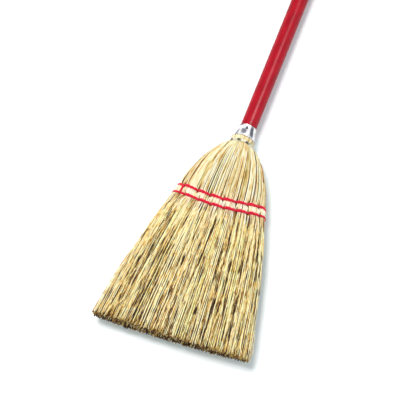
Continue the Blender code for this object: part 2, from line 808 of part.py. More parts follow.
def floor_mesh():
    """The space under the floor, below the whole head."""
    mesh = bpy.data.meshes.new("floor_space")
    shape = bmesh.new()
    bmesh.ops.create_cube(shape, size=1.0)
    bmesh.ops.scale(shape, vec=(2 * HEAD_WIDTH, 2 * STRAW_LENGTH, BELLY_THICKNESS), verts=shape.verts)
    bmesh.ops.translate(shape, vec=(0.0, 0.0, -BELLY_THICKNESS / 2), verts=shape.verts)
    shape.to_mesh(mesh)
    shape.free()
    return mesh


def centre_on_origin():
    """Move the broom so that its origin is in the middle of its lowest face."""
    bpy.context.view_layer.update()
    evaluated = bpy.context.evaluated_depsgraph_get()
    corners = []
    for item in broom.objects:
        if item.type != "EMPTY":
            shown = item.evaluated_get(evaluated)
            corners.extend(shown.matrix_world @ vertex.co for vertex in shown.to_mesh().vertices)
            shown.to_mesh_clear()
    places = np.array(corners)
    shift = Vector((places.min(axis=0) + places.max(axis=0)) / 2)
    shift.z = places[:, 2].min()
    lying.location -= shift
    floor_cut.location -= shift
    bpy.context.view_layer.update()


lay_down()
floor_cut = add_object("floor_space", floor_mesh(), cutters)
floor_cut.parent = None
subtract(back_cover, floor_cut, "worn flat of the belly")
centre_on_origin()
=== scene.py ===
import math

import bpy
import numpy as np
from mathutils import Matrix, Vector


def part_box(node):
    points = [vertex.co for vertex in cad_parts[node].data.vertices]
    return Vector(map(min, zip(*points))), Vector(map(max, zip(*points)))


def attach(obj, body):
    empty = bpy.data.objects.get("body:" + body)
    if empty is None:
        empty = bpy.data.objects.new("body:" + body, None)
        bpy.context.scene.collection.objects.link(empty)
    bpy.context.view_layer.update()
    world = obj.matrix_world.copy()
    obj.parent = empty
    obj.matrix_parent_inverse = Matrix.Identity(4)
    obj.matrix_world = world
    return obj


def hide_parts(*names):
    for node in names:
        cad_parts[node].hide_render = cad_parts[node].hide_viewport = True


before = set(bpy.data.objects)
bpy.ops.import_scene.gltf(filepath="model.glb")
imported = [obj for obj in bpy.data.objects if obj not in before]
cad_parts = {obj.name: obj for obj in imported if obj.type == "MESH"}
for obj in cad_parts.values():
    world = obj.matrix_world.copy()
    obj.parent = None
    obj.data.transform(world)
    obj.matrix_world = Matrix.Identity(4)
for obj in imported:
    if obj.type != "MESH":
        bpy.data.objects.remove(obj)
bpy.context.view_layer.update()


# White sheet, camera and light
# The broom lies on a plain white sheet, and the camera looks down on it from the sweeping end. The room
# is bright near the horizon and dim overhead. A large softbox hangs over the broom, a little to the
# left of the picture, and a small one on the right is there to be mirrored in the lacquer.

CAMERA_AZIMUTH = 19.93
CAMERA_ELEVATION = 62.88
CAMERA_DISTANCE = 3.054
CAMERA_TARGET = (-0.0324, -0.2931, 0.0220)
CAMERA_LENS_MM = 205.8
# A softbox: its way by the picture's right, top and overhead, its distance, size, watts and colour
LARGE_SOFTBOX = ((-0.25, 0.06, 0.94), 2.6, 1.20, 0.95, 57, (1.0, 0.99, 0.97))
MIRRORED_SOFTBOX = ((0.80, 0.60, 1.55), 1.88, 0.70, 0.42, 18, (1.0, 0.99, 1.0))
SHEET_SIZE = 12.0
SHEET_COLOUR = (0.90, 0.90, 0.91)
SHEET_LIFT = 0.21
SHEET_LIFT_COLOUR = (0.66, 0.93, 1.0)
ROOM_COLOUR = (0.95, 0.98, 1.0)
# The room's light near the horizon and overhead, and the sines of the heights that it dims between
HORIZON_LIGHT, OVERHEAD_LIGHT = 1.05, 0.38
HORIZON_RISE, OVERHEAD_RISE = 0.05, 0.55
# Its shares at the left and at the right of the picture
LEFT_SHARE, RIGHT_SHARE = 0.72, 1.15

azimuth, elevation = math.radians(CAMERA_AZIMUTH), math.radians(CAMERA_ELEVATION)
picture_right = Vector((math.cos(azimuth), math.sin(azimuth), 0.0))
picture_top = Vector((-math.sin(azimuth), math.cos(azimuth), 0.0))
overhead = Vector((0.0, 0.0, 1.0))
to_camera = -picture_top * math.cos(elevation) + overhead * math.sin(elevation)
target = Vector(CAMERA_TARGET)

camera_data = bpy.data.cameras.new("picture_camera")
camera_data.lens = CAMERA_LENS_MM
camera = bpy.data.objects.new("picture_camera", camera_data)
camera.location = target + to_camera * CAMERA_DISTANCE
camera.rotation_euler = (-to_camera).to_track_quat("-Z", "Y").to_euler()
bpy.context.scene.collection.objects.link(camera)
bpy.context.scene.camera = camera
bpy.context.scene.view_settings.view_transform = "Standard"


def softbox(name, shares, distance, width, length, watts, colour, only_mirrored=False):
    """A rectangular lamp that looks at the broom's head, and may be there only to be mirrored.

    Its way from the head is the picture's right, its top and overhead, each times its share, added up.
    """
    towards = picture_right * shares[0] + picture_top * shares[1] + overhead * shares[2]
    lamp = bpy.data.lights.new(name, "AREA")
    lamp.shape = "RECTANGLE"
    lamp.size, lamp.size_y = width, length
    lamp.energy = watts
    lamp.color = colour
    item = bpy.data.objects.new(name, lamp)
    item.location = target + towards.normalized() * distance
    item.rotation_euler = (-towards).to_track_quat("-Z", "Y").to_euler()
    item.visible_diffuse = not only_mirrored
    bpy.context.scene.collection.objects.link(item)


softbox("large_softbox", *LARGE_SOFTBOX)
softbox("mirrored_softbox", *MIRRORED_SOFTBOX, only_mirrored=True)


def new_material(name, **sockets):
    """A Principled material with plain values on its sockets, and the graph and shader to build on."""
    material = bpy.data.materials.new(name)
    material.use_nodes = True
    graph = material.node_tree
    shader = graph.nodes["Principled BSDF"]
    for socket, value in sockets.items():
        shader.inputs[socket.replace("_", " ")].default_value = value
    return material, graph, shader


def add_node(graph, kind, sockets=(), **settings):
    """A node with its settings, and a plain value or another node's output on each socket named."""
    node = graph.nodes.new(kind)
    for setting, value in settings.items():
        setattr(node, setting, value)
    for socket, value in dict(sockets).items():
        if isinstance(value, bpy.types.NodeSocket):
            graph.links.new(value, node.inputs[socket])
        else:
            node.inputs[socket].default_value = value
    return node


def background_rays(graph, amount):
    """The amount, times one for a ray from the camera or off a gloss, and nothing for all other light."""
    path = add_node(graph, "ShaderNodeLightPath").outputs
    either = {0: path["Is Camera Ray"], 1: path["Is Glossy Ray"]}
    seen = add_node(graph, "ShaderNodeMath", either, operation="MAXIMUM")
    scaled = add_node(graph, "ShaderNodeMath", {0: seen.outputs[0], 1: amount}, operation="MULTIPLY")
    return scaled.outputs[0]


white_sheet, graph, shader = new_material(
    "white_sheet", Base_Color=(*SHEET_COLOUR, 1), Roughness=0.9, Specular_IOR_Level=0.1,
    Emission_Color=(*SHEET_LIFT_COLOUR, 1),
)
graph.links.new(background_rays(graph, SHEET_LIFT), shader.inputs["Emission Strength"])

sheet_mesh = bpy.data.meshes.new("white_sheet")
sheet_corners = SHEET_SIZE / 2 * np.array([(-1, -1, 0), (1, -1, 0), (1, 1, 0), (-1, 1, 0)])
sheet_mesh.from_pydata(sheet_corners.tolist(), [], [(0, 1, 2, 3)])
sheet_mesh.materials.append(white_sheet)
sheet = bpy.data.objects.new("white_sheet", sheet_mesh)
bpy.context.scene.collection.objects.link(sheet)

room = bpy.data.worlds.new("pale_room")
room.use_nodes = True
bpy.context.scene.world = room
graph = room.node_tree
background = graph.nodes["Background"]
background.inputs["Color"].default_value = (*ROOM_COLOUR, 1)
path = add_node(graph, "ShaderNodeLightPath")
way = add_node(graph, "ShaderNodeTexCoord").outputs["Generated"]
height = add_node(graph, "ShaderNodeSeparateXYZ", {"Vector": way}).outputs["Z"]
level = add_node(graph, "ShaderNodeMapRange", {
    "Value": height, "From Min": HORIZON_RISE, "From Max": OVERHEAD_RISE,
    "To Min": HORIZON_LIGHT, "To Max": OVERHEAD_LIGHT,
}).outputs["Result"]
side = add_node(graph, "ShaderNodeVectorMath", {0: way, 1: picture_right}, operation="DOT_PRODUCT")
side_share = add_node(graph, "ShaderNodeMapRange", {
    "Value": side.outputs["Value"], "From Min": -1.0, "From Max": 1.0,
    "To Min": LEFT_SHARE, "To Max": RIGHT_SHARE,
}).outputs["Result"]
both = add_node(graph, "ShaderNodeMath", {0: level, 1: side_share}, operation="MULTIPLY")
brightness = add_node(graph, "ShaderNodeMapRange", {
    "Value": path.outputs["Is Camera Ray"], "To Min": both.outputs[0], "To Max": 1.0,
})
graph.links.new(brightness.outputs["Result"], background.inputs["Strength"])


# Handle
# A turned wooden stick, lacquered a deep red. Its lower end tapers inside the straw and its other end is
# rounded over. The broom is worked out upright along this stick, then laid down with it.

FERRULE_LENGTH = 0.019
HANDLE_ABOVE = 0.680
HANDLE_END_ROUND = 0.009
HANDLE_POLE_RADIUS_SHARE = 0.01
TENON_SHOULDER_DEPTH = 0.008
TENON_DEPTH = 0.082
TENON_TIP_RADIUS = 0.007
# The tip's chamfer: where it starts down the tenon, and what is left of the radius at the end
TENON_CHAMFER_START_SHARE = 0.98
TENON_CHAMFER_RADIUS_SHARE = 0.8
HANDLE_COLUMNS = 96
HANDLE_ROUND_ROWS = 14
HANDLE_STRAIGHT_ROWS = 9
LACQUER_RED = (0.48, 0.005, 0.019)
LACQUER_DEEP = (0.33, 0.003, 0.011)

ferrule_box = np.array([list(corner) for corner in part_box("ferrule")])
handle_box = np.array([list(corner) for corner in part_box("handle")])
handle_radius = (handle_box[1, 0] - handle_box[0, 0]) / 2
ferrule_middle = ferrule_box.mean(axis=0)
handle_end = np.array([handle_box[:, 0].mean(), handle_box[1, 1], handle_box[0, 2] + handle_radius])
up_stick = (handle_end - ferrule_middle) / np.linalg.norm(handle_end - ferrule_middle)
out_of_face = np.array([0.0, -up_stick[2], up_stick[1]])
across_head = np.array([1.0, 0.0, 0.0])
ferrule_edge = ferrule_middle - up_stick * FERRULE_LENGTH / 2


def lay(across, out, up):
    """Where a place of the upright broom lies.

    It is the ferrule's edge, plus the three distances each times its way: across the head, out of its
    face and up the stick.
    """
    place = ferrule_edge
    for distance, way in zip(np.broadcast_arrays(across, out, up), (across_head, out_of_face, up_stick)):
        place = place + distance[..., None] * way
    return place


def grid_faces(rows, columns, endless=False):
    """Four-cornered faces of a grid whose last column joins its first, and whose last row may too."""
    above = np.arange(rows if endless else rows - 1)[:, None] * columns
    below = (above + columns) % (rows * columns)
    column = np.arange(columns)
    beside = (column + 1) % columns
    corners = (above + column, above + beside, below + beside, below + column)
    return np.stack(corners, axis=-1).reshape(-1, 4)


def end_faces(rows, columns):
    """The two faces that close such a grid at its first and its last row."""
    ring = np.arange(columns)
    return np.stack([ring[::-1], (rows - 1) * columns + ring])


def add_piece(name, corners, faces, material, replaced=(), marks=None):
    """A piece of the broom from whole arrays: corners, and faces as arrays of corner numbers.

    Each face is fanned from its first corner to add up the volume, whose sign says which way the faces
    look. What would dip below the sheet is pressed flat on it.
    """
    corners = corners.reshape(-1, 3).copy()
    corners[:, 2] = np.maximum(corners[:, 2], 0.0)
    volume = 0.0
    for group in faces:
        places = corners[group] - corners[0]
        volume += np.einsum("fi,fki->", places[:, 0], np.cross(places[:, 1:-1], places[:, 2:]))
    if volume < 0:
        faces = [group[:, ::-1] for group in faces]
    sizes = np.concatenate([np.full(len(group), group.shape[1]) for group in faces])
    numbers = np.concatenate([group.ravel() for group in faces])
    mesh = bpy.data.meshes.new(name)
    mesh.vertices.add(len(corners))
    mesh.vertices.foreach_set("co", corners.ravel().astype(np.float32))
    mesh.loops.add(len(numbers))
    mesh.loops.foreach_set("vertex_index", numbers.astype(np.int32))
    mesh.polygons.add(len(sizes))
    mesh.polygons.foreach_set("loop_start", (np.cumsum(sizes) - sizes).astype(np.int32))
    mesh.polygons.foreach_set("use_smooth", sizes == 4)
    mesh.update(calc_edges=True)
    mesh.materials.append(material)
    if marks is not None:
        mark = mesh.attributes.new("mark", "FLOAT_VECTOR", "POINT")
        mark.data.foreach_set("vector", marks.ravel().astype(np.float32))
    item = bpy.data.objects.new(name, mesh)
    bpy.context.scene.collection.objects.link(item)
    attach(item, "root")
    if replaced:
        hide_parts(*replaced)
    return item


def turned(radii, heights, columns):
    """A profile of radius and height carried round the stick's axis, one row to each of its points.

    A corner is the radius times the cosine of its turn across, and times the sine out of the face.
    """
    turn = np.linspace(0.0, 2 * math.pi, columns, endpoint=False)
    return lay(radii[:, None] * np.cos(turn), radii[:, None] * np.sin(turn), heights[:, None])


def stretched_noise(graph, scale, squeeze, detail=3.0):
    """Noise on the piece's own coordinates, drawn out along the broom by the squeeze."""
    place = add_node(graph, "ShaderNodeTexCoord").outputs["Object"]
    mapping = add_node(graph, "ShaderNodeMapping", {"Vector": place, "Scale": (1.0, squeeze, 1.0)})
    sockets = {"Vector": mapping.outputs["Vector"], "Scale": scale, "Detail": detail}
    return add_node(graph, "ShaderNodeTexNoise", sockets).outputs["Fac"]


def ramp(graph, value, stops):
    """A colour for a value, between stops of place and colour."""
    node = add_node(graph, "ShaderNodeValToRGB", {"Fac": value})
    elements = node.color_ramp.elements
    while len(elements) < len(stops):
        elements.new(0.5)
    for element, (place, colour) in zip(elements, stops):
        element.position = place
        element.color = (*colour, 1)
    return node.outputs["Color"]


def paint(graph, shader, colour, height, depth):
    """A colour on the shader, and a bump on its normal, which is the height times the depth."""
    bump = add_node(graph, "ShaderNodeBump", {"Height": height, "Distance": depth})
    graph.links.new(colour, shader.inputs["Base Color"])
    graph.links.new(bump.outputs["Normal"], shader.inputs["Normal"])


lacquer, graph, shader = new_material(
    "red_lacquer", Roughness=0.5, Specular_IOR_Level=0.0,
    Coat_Weight=0.42, Coat_Roughness=0.30, Coat_IOR=1.5,
)
grain = stretched_noise(graph, scale=180.0, squeeze=0.25, detail=4.0)
colour = ramp(graph, grain, ((0.3, LACQUER_DEEP), (0.6, LACQUER_RED)))
paint(graph, shader, colour, grain, depth=0.0004)

end_turn = np.linspace(math.pi / 2, 0.0, HANDLE_ROUND_ROWS)
handle_radii = np.concatenate([
    handle_radius * np.cos(end_turn), np.full(HANDLE_STRAIGHT_ROWS, handle_radius),
    [TENON_TIP_RADIUS, TENON_TIP_RADIUS * TENON_CHAMFER_RADIUS_SHARE],
])
handle_radii[0] = handle_radius * HANDLE_POLE_RADIUS_SHARE
handle_heights = np.concatenate([
    HANDLE_ABOVE - HANDLE_END_ROUND * (1 - np.sin(end_turn)),
    np.linspace(HANDLE_ABOVE - 2 * HANDLE_END_ROUND, -TENON_SHOULDER_DEPTH, HANDLE_STRAIGHT_ROWS),
    [-TENON_DEPTH * TENON_CHAMFER_START_SHARE, -TENON_DEPTH],
])
handle_grid = (len(handle_radii), HANDLE_COLUMNS)
add_piece(
    "lacquered_handle", turned(handle_radii, handle_heights, HANDLE_COLUMNS),
    [grid_faces(*handle_grid), end_faces(*handle_grid)], lacquer, ["handle"],
)


# Straw
# Long stems of broomcorn, bound round the stick with their butts up. Each stem runs smooth over the
# shoulder and through the sewn rows. Below them it parts into many fine, slightly crinkled fibres,
# trimmed off square.

STRAW_LENGTH = 0.3045
HEAD_WIDTH = 0.214
BELLY_THICKNESS = 0.040
COLLAR_RADIUS = 0.0160
GROOVE_RADIUS = 0.0146
COLLAR_LENGTH = 0.0056
# Where the collar's edge starts and ends, from the collar's length
COLLAR_EDGE = (-0.0006, 0.0008)
SHOULDER_DEPTH = 0.0114
NECK_BLEND = 0.0035
HEAD_LEAN_DEGREES = 1.75
ROW_BOW = 0.0076
TRIM_BOW_SHARE = 0.26
UPPER_ROW_DEPTH = 0.0943
LOWER_ROW_DEPTH = 0.1063
BACKING_DEPTH = 0.1153
ROW_DIP = 0.0013
ROW_DIP_REACH = 0.006
# Depth of straw length, half width of head width, half thickness of belly, squareness of section
HEAD_OUTLINE_SHARES = np.array((
    (0.0375, 0.182, 0.85, 2.0), (0.0576, 0.241, 0.925, 2.1), (0.0896, 0.310, 0.975, 2.3),
    (0.1227, 0.374, 0.995, 2.5), (0.1557, 0.421, 1.000, 2.6), (0.2218, 0.498, 0.960, 2.8),
    (0.2870, 0.553, 0.840, 3.0), (0.3460, 0.600, 0.770, 3.1), (0.4512, 0.688, 0.710, 3.3),
    (0.6485, 0.820, 0.615, 3.6), (0.8128, 0.909, 0.530, 3.8), (1.0000, 1.000, 0.440, 4.0),
))
STRAW_SEED = 11
SECTION_COLUMNS = 240
SECTION_LEVELS = 306
SECTION_POINTS = 2400
# Straw's colours by how pale it is: dark browns, which also serve for painted shade in the gaps, and
# the places of each kind's own three
BROWN_AND_SHADE_COLOURS = (
    (0.0, (0.045, 0.018, 0.006)), (0.18, (0.20, 0.080, 0.022)), (0.36, (0.47, 0.245, 0.062)),
    (0.55, (0.70, 0.46, 0.14)),
)
PALE_PLACES = (0.73, 0.92, 1.0)
# What the colours are multiplied by, by a straw's number: some straws are olive, most plain, a few red
STRAW_CASTS = (
    (0.0, (0.80, 0.84, 0.56)), (0.12, (0.91, 0.93, 0.78)), (0.26, (1.0, 1.0, 1.0)), (0.90, (1.0, 1.0, 1.0)),
    (0.98, (0.98, 0.80, 0.66)),
)
# Scales of the dashes: not by the tone, by the straw's number, and along the straw
DASH_SCALES = (0.0, 60.0, 100.0)
# Nearly all of a noise lies between these
NOISE_RANGE = (0.3, 0.7)


def smooth_step(value, start, end):
    """Nothing before the start, one after the end, and between them t squared times (3 - 2t)."""
    t = np.clip((value - start) / (end - start), 0.0, 1.0)
    return t * t * (3 - 2 * t)


def smooth_table(places, values, at):
    """A cubic through a table of values, with the slopes of each row's neighbours.

    With t from nothing to one between two rows, the first value is weighed by 2t^3 - 3t^2 + 1 and the
    second by 3t^2 - 2t^3. The slopes, times the span, are weighed by t^3 - 2t^2 + t and t^3 - t^2.
    """
    slopes = np.gradient(values, places)
    row = np.clip(np.searchsorted(places, at) - 1, 0, len(places) - 2)
    span = places[row + 1] - places[row]
    t = np.clip((at - places[row]) / span, 0.0, 1.0)
    return (
        (2 * t ** 3 - 3 * t ** 2 + 1) * values[row] + (t ** 3 - 2 * t ** 2 + t) * slopes[row] * span
        + (3 * t ** 2 - 2 * t ** 3) * values[row + 1] + (t ** 3 - t ** 2) * slopes[row + 1] * span
    )


def head_outline(depth):
    """Half width, half thickness and squareness below the neck, less a dip at each sewn row.

    The dip fades evenly to nothing at its reach.
    """
    depths = HEAD_OUTLINE_SHARES[:, 0] * STRAW_LENGTH
    width = smooth_table(depths, HEAD_OUTLINE_SHARES[:, 1] * HEAD_WIDTH / 2, depth)
    thickness = smooth_table(depths, HEAD_OUTLINE_SHARES[:, 2] * BELLY_THICKNESS / 2, depth)
    squareness = smooth_table(depths, HEAD_OUTLINE_SHARES[:, 3], depth)
    near = np.minimum(np.abs(depth - UPPER_ROW_DEPTH), np.abs(depth - LOWER_ROW_DEPTH)) / ROW_DIP_REACH
    dip = ROW_DIP * np.clip(1 - near, 0.0, 1.0)
    return width - dip, thickness - dip, squareness


def straw_outline(depth):
    """The whole outline: a round collar, the wire's groove, and a smooth swelling into the shoulders."""
    width, thickness, squareness = head_outline(depth)
    pinch = smooth_step(depth, COLLAR_LENGTH + COLLAR_EDGE[0], COLLAR_LENGTH + COLLAR_EDGE[1])
    neck = COLLAR_RADIUS + (GROOVE_RADIUS - COLLAR_RADIUS) * pinch
    swell = smooth_step(depth, SHOULDER_DEPTH - NECK_BLEND / 2, SHOULDER_DEPTH + NECK_BLEND)
    across, out = neck + (width - neck) * swell, neck + (thickness - neck) * swell
    return across, out, 2.0 + (squareness - 2.0) * swell


def squared_oval(width, thickness, squareness, turn):
    """Places across and out round a squared oval, by their turns, and the way along it up to each.

    They are the half width times the cosine and the half thickness times the sine, the cosine and the
    sine each to the power of two by the squareness with their signs kept.
    """
    across = width * np.sign(np.cos(turn)) * np.abs(np.cos(turn)) ** (2 / squareness)
    out = thickness * np.sign(np.sin(turn)) * np.abs(np.sin(turn)) ** (2 / squareness)
    return across, out, np.concatenate([[0.0], np.cumsum(np.hypot(np.diff(across), np.diff(out)))])


def section_table():
    """The head's sections, level by level: even places round a squared oval, and the ways out of it.

    A way out is square to the line between a place's neighbours.
    """
    turn = np.linspace(0.0, 2 * math.pi, SECTION_POINTS + 1)
    depths = np.linspace(0.0, STRAW_LENGTH, SECTION_LEVELS)
    table = np.zeros((SECTION_LEVELS, SECTION_COLUMNS, 4))
    rounds = np.zeros(SECTION_LEVELS)
    for level, outline in enumerate(zip(*straw_outline(depths))):
        across, out, along = squared_oval(*outline, turn)
        rounds[level] = along[-1]
        places = np.linspace(0.0, along[-1], SECTION_COLUMNS, endpoint=False)
        table[level, :, 0] = np.interp(places, along, across)
        table[level, :, 1] = np.interp(places, along, out)
    way = np.roll(table[:, :, :2], -1, axis=1) - np.roll(table[:, :, :2], 1, axis=1)
    way /= np.linalg.norm(way, axis=2, keepdims=True)
    table[:, :, 2], table[:, :, 3] = way[:, :, 1], -way[:, :, 0]
    return table, rounds


sections, way_round = section_table()


def around(depth):
    """The way round the head at a depth, in metres."""
    return np.interp(depth, np.linspace(0.0, STRAW_LENGTH, SECTION_LEVELS), way_round)


def settle(x, depth):
    """Across and up of straw at a depth.

    The rows bow to the tips by the bow times one minus the square of x by the half width, and the head
    leans to one side by its angle.
    """
    start, row = SHOULDER_DEPTH, UPPER_ROW_DEPTH
    down = (depth - BACKING_DEPTH) / (STRAW_LENGTH - BACKING_DEPTH)
    straightened = 1 - (1 - TRIM_BOW_SHARE) * down
    strength = np.where(depth <= BACKING_DEPTH, smooth_step(depth, start, row), straightened)
    width = head_outline(np.clip(depth, start, STRAW_LENGTH))[0]
    bow = ROW_BOW * strength * np.clip(1 - (x / width) ** 2, 0.0, 1.0)
    lean = math.radians(HEAD_LEAN_DEGREES)
    below = np.maximum(depth + bow - start, 0.0)
    blend = np.minimum(below / (row - start), 1.0)
    return x + below * math.tan(lean), -(depth + bow) + x * math.sin(lean) * blend * (2 - blend)


def on_head(share, depth, proud):
    """A place on the head and the way out of it, both as they lie.

    The share goes round the head from its right edge over the face that shows. The place is read
    between the nearest columns and levels of the section table, moved out along the way by the proud
    height, and settled.
    """
    column = (share % 1.0) * SECTION_COLUMNS
    level = np.clip(depth / STRAW_LENGTH, 0.0, 1.0) * (SECTION_LEVELS - 1)
    first_column = np.floor(column).astype(int)
    first_level = np.minimum(np.floor(level).astype(int), SECTION_LEVELS - 2)
    part, drop = (column - first_column)[..., None], (level - first_level)[..., None]
    left, right = first_column % SECTION_COLUMNS, (first_column + 1) % SECTION_COLUMNS
    upper = sections[first_level, left] * (1 - part) + sections[first_level, right] * part
    lower = sections[first_level + 1, left] * (1 - part) + sections[first_level + 1, right] * part
    found = upper * (1 - drop) + lower * drop
    across, out = found[..., 0] + found[..., 2] * proud, found[..., 1] + found[..., 3] * proud
    settled, up = settle(across, depth)
    return lay(settled, out, up), found[..., 2:3] * across_head + found[..., 3:4] * out_of_face


def noisy_mark(graph, noise, low, high):
    """The mark on each corner as three numbers, and the first of them plus noise between low and high."""
    mark = add_node(graph, "ShaderNodeAttribute", attribute_name="mark")
    parts = add_node(graph, "ShaderNodeSeparateXYZ", {"Vector": mark.outputs["Vector"]}).outputs
    shift = add_node(graph, "ShaderNodeMapRange", {
        "Value": noise, "From Min": NOISE_RANGE[0], "From Max": NOISE_RANGE[1],
        "To Min": low, "To Max": high,
    }).outputs["Result"]
    total = add_node(graph, "ShaderNodeMath", {0: parts["X"], 1: shift}, operation="ADD")
    return parts, total.outputs[0]


def straw_material(name, gold, cream, palest, dash_low, dash_high):
    """Straw coloured by its marks: brown and painted shade up to gold and cream, then multiplied by its
    cast.

    Its tone is its mark plus dashes, which are noise over the straw's number and its way along.
    """
    material, graph, shader = new_material(name, Roughness=0.62, Specular_IOR_Level=0.3)
    mark = add_node(graph, "ShaderNodeAttribute", attribute_name="mark").outputs["Vector"]
    spread = add_node(graph, "ShaderNodeVectorMath", {0: mark, 1: DASH_SCALES}, operation="MULTIPLY")
    sockets = {"Vector": spread.outputs["Vector"], "Scale": 1.0, "Detail": 2.0}
    dash = add_node(graph, "ShaderNodeTexNoise", sockets).outputs["Fac"]
    parts, tone = noisy_mark(graph, dash, dash_low, dash_high)
    straw = ramp(graph, tone, (*BROWN_AND_SHADE_COLOURS, *zip(PALE_PLACES, (gold, cream, palest))))
    sockets = {"Factor": 1.0, "A": straw, "B": ramp(graph, parts["Y"], STRAW_CASTS)}
    tint = add_node(graph, "ShaderNodeMix", sockets, data_type="RGBA", blend_type="MULTIPLY")
    fine_lines = stretched_noise(graph, scale=900.0, squeeze=0.12)
    paint(graph, shader, tint.outputs["Result"], fine_lines, depth=0.0002)
    return material


stem_straw = straw_material(
    "hurl_straw", gold=(0.87, 0.71, 0.34), cream=(0.97, 0.89, 0.60), palest=(1.0, 0.97, 0.77),
    dash_low=-0.36, dash_high=0.26,
)
fibre_straw = straw_material(
    "inner_straw", gold=(0.90, 0.64, 0.21), cream=(0.99, 0.85, 0.42), palest=(1.0, 0.925, 0.56),
    dash_low=-0.60, dash_high=0.46,
)


# Bound core
# The straw that is bound on first, packed hard round the tapered stick and hidden by the stems. Only
# its outer stems show, deep in the gaps between the covering stems, painted dark as their shade.

CORE_INSET = 0.0030
# Share of the inset at the butts, and how far down it is all there
CORE_NECK_INSET_SHARE = 0.45
CORE_NECK_REACH = 0.05
CORE_START = 0.0012
CORE_END = 0.170
CORE_LEVELS = 60
CORE_LEVEL_CROWDING = 1.5
CORE_COLUMNS = 480
CORE_STEMS = 160
CORE_FLUTE = 0.00035
# The core's tone is painted shade, darker than the straw's own colour
CORE_SHADE_TONE = 0.18

core_levels = np.linspace(0.0, 1.0, CORE_LEVELS)[:, None] ** CORE_LEVEL_CROWDING
core_depths = core_levels * (CORE_END - CORE_START) + CORE_START
core_shares = np.linspace(0.0, 1.0, CORE_COLUMNS, endpoint=False)[None, :]
flute = CORE_FLUTE * np.abs(np.sin(math.pi * CORE_STEMS * core_shares))
full = smooth_step(core_depths, 0.0, CORE_NECK_REACH)
inset = CORE_INSET * (CORE_NECK_INSET_SHARE + (1 - CORE_NECK_INSET_SHARE) * full)
core_grid, _ = on_head(core_shares + 0 * core_depths, core_depths + 0 * core_shares, flute - inset)
core_faces = [grid_faces(CORE_LEVELS, CORE_COLUMNS), end_faces(CORE_LEVELS, CORE_COLUMNS)]
add_piece(
    "bound_core", core_grid, core_faces, fibre_straw, ["core_straw"],
    marks=np.full((CORE_LEVELS, CORE_COLUMNS, 3), CORE_SHADE_TONE),
)


# Covering stems
# Three layers of smooth stems lie side by side from the collar of trimmed butts, under the wire and
# over the shoulders to the sewn rows. The twine presses them in at each row, and the needle parts them
# at each stitch.

STEMS = 300
# The three layers: how deep each lies, how wide its stems are, and how much more of them are brown
LAYER_INSETS = np.array((0.0, 0.0014, 0.0007))
LAYER_WIDTHS = np.array((1.12, 0.8, 0.9))
LAYER_BROWNING = np.array((0.0, 0.66, 0.16))
STEM_HALF_WIDTH = 0.00074
STEM_HALF_HEIGHT = 0.00085
STEM_SIZES = (0.8, 1.2)
STEM_SIDES = 6
# Half width at the collar as a share, what it gains by the rows, and what the half height loses by then
COLLAR_WIDTH_SHARE, WIDTH_GAIN, HEIGHT_LOSS = 0.88, 0.17, 0.2
# Levels down a stem, close together where it bends: butt, groove, shoulder, rows
STEM_DEPTHS = np.array((
    0.0004, 0.0022, 0.0046, 0.0056, 0.0068, 0.0088, 0.0104, 0.0118, 0.0134, 0.0156, 0.0186, 0.0226, 0.0276,
    0.0336, 0.0406, 0.0486, 0.0576, 0.0666, 0.0746, 0.0806, 0.0853, 0.0885, 0.0914, 0.0943, 0.0973, 0.1003,
    0.1033, 0.1063, 0.1093,
))
BUTT_DEPTH = 0.002
BUTT_RAGGEDNESS = 0.0009
STEM_END = (0.112, 0.142)
STEM_END_RINGS = 4
STEM_END_SINK = 0.0012
STEM_TAPER = 0.018
STEM_THINNING = 0.75
# How far stems are off their even places, in stems, and how they wander from there down the shoulder
STEM_SHIFT = 0.3
WANDER, WANDER_LENGTH, WANDER_PHASES = 0.0009, 0.05, (0, 6)
WANDER_DEPTHS = (0.015, 0.05)
# How proud of the outline the outer layer stands, and how uneven the stems lie
STEM_PROUD = 0.0005
STEM_UNEVENNESS = (-0.0004, 0.0003)
# What the layers' insets lose by the rows, what more at the left, and what between the rows
INSET_LOSS, LEFT_INSET_LOSS, ROWS_INSET_LOSS = 0.1, 0.5, 0.8
ROWS_INSET_REACH = 0.010
PILLOW_HEIGHT, PILLOW_REACH = 0.0012, 0.0033
STITCH_PART = 0.0017
STITCH_REACH_ACROSS = 0.0018
STITCH_REACH_ALONG = 0.0036
STITCH_DIMPLE = 0.0014
# Reaches of the dimple and of the flattened pillow, in the stitch's reach across
DIMPLE_REACH_SHARE, FLAT_REACH_SHARE = 2, 3
SLIT_WIDTH = 0.0010
SLIT_SHADE = 1.2
# Places of the stitches from the middle, in half widths of the row
UPPER_STITCH_SHARES = (-0.86, -0.515, -0.222, 0.082, 0.38, 0.632, 0.88)
LOWER_STITCH_SHARES = (-0.865, -0.735, -0.42, -0.14, 0.149, 0.416, 0.665, 0.905)
# Tones, which say how pale a stem is, and the draws past which one is brown, gold, gold at the left
BROWN_STEM, GOLD_STEM, PALE_STEM = 0.30, 0.76, 0.96
BROWN_FROM, GOLD_FROM, LEFT_GOLD_FROM = 0.95, 0.80, 0.84
# The left side is painted paler, as painted light: shares of the way round where that starts and is
# full, and how much
LEFT_SIDE = (0.34, 0.46)
LEFT_PAINTED_LIGHT = 0.8
TONE_SPREAD = 0.09
TONE_DRIFT, TONE_DRIFT_WAVES = 0.06, (0.04, 0.1)
# Between the rows the stems are painted paler: a painted highlight on the pillows
ROWS_PAINTED_HIGHLIGHT, ROWS_PALE_REACH = 0.6, 0.0075
STEM_EDGE_SHADE = 0.17
# The butts under the ferrule's mouth are painted dark: a painted shadow of the mouth
BUTT_SHADE = 0.9
STEM_DASH_STRETCH = 0.6

chance = np.random.default_rng(STRAW_SEED)


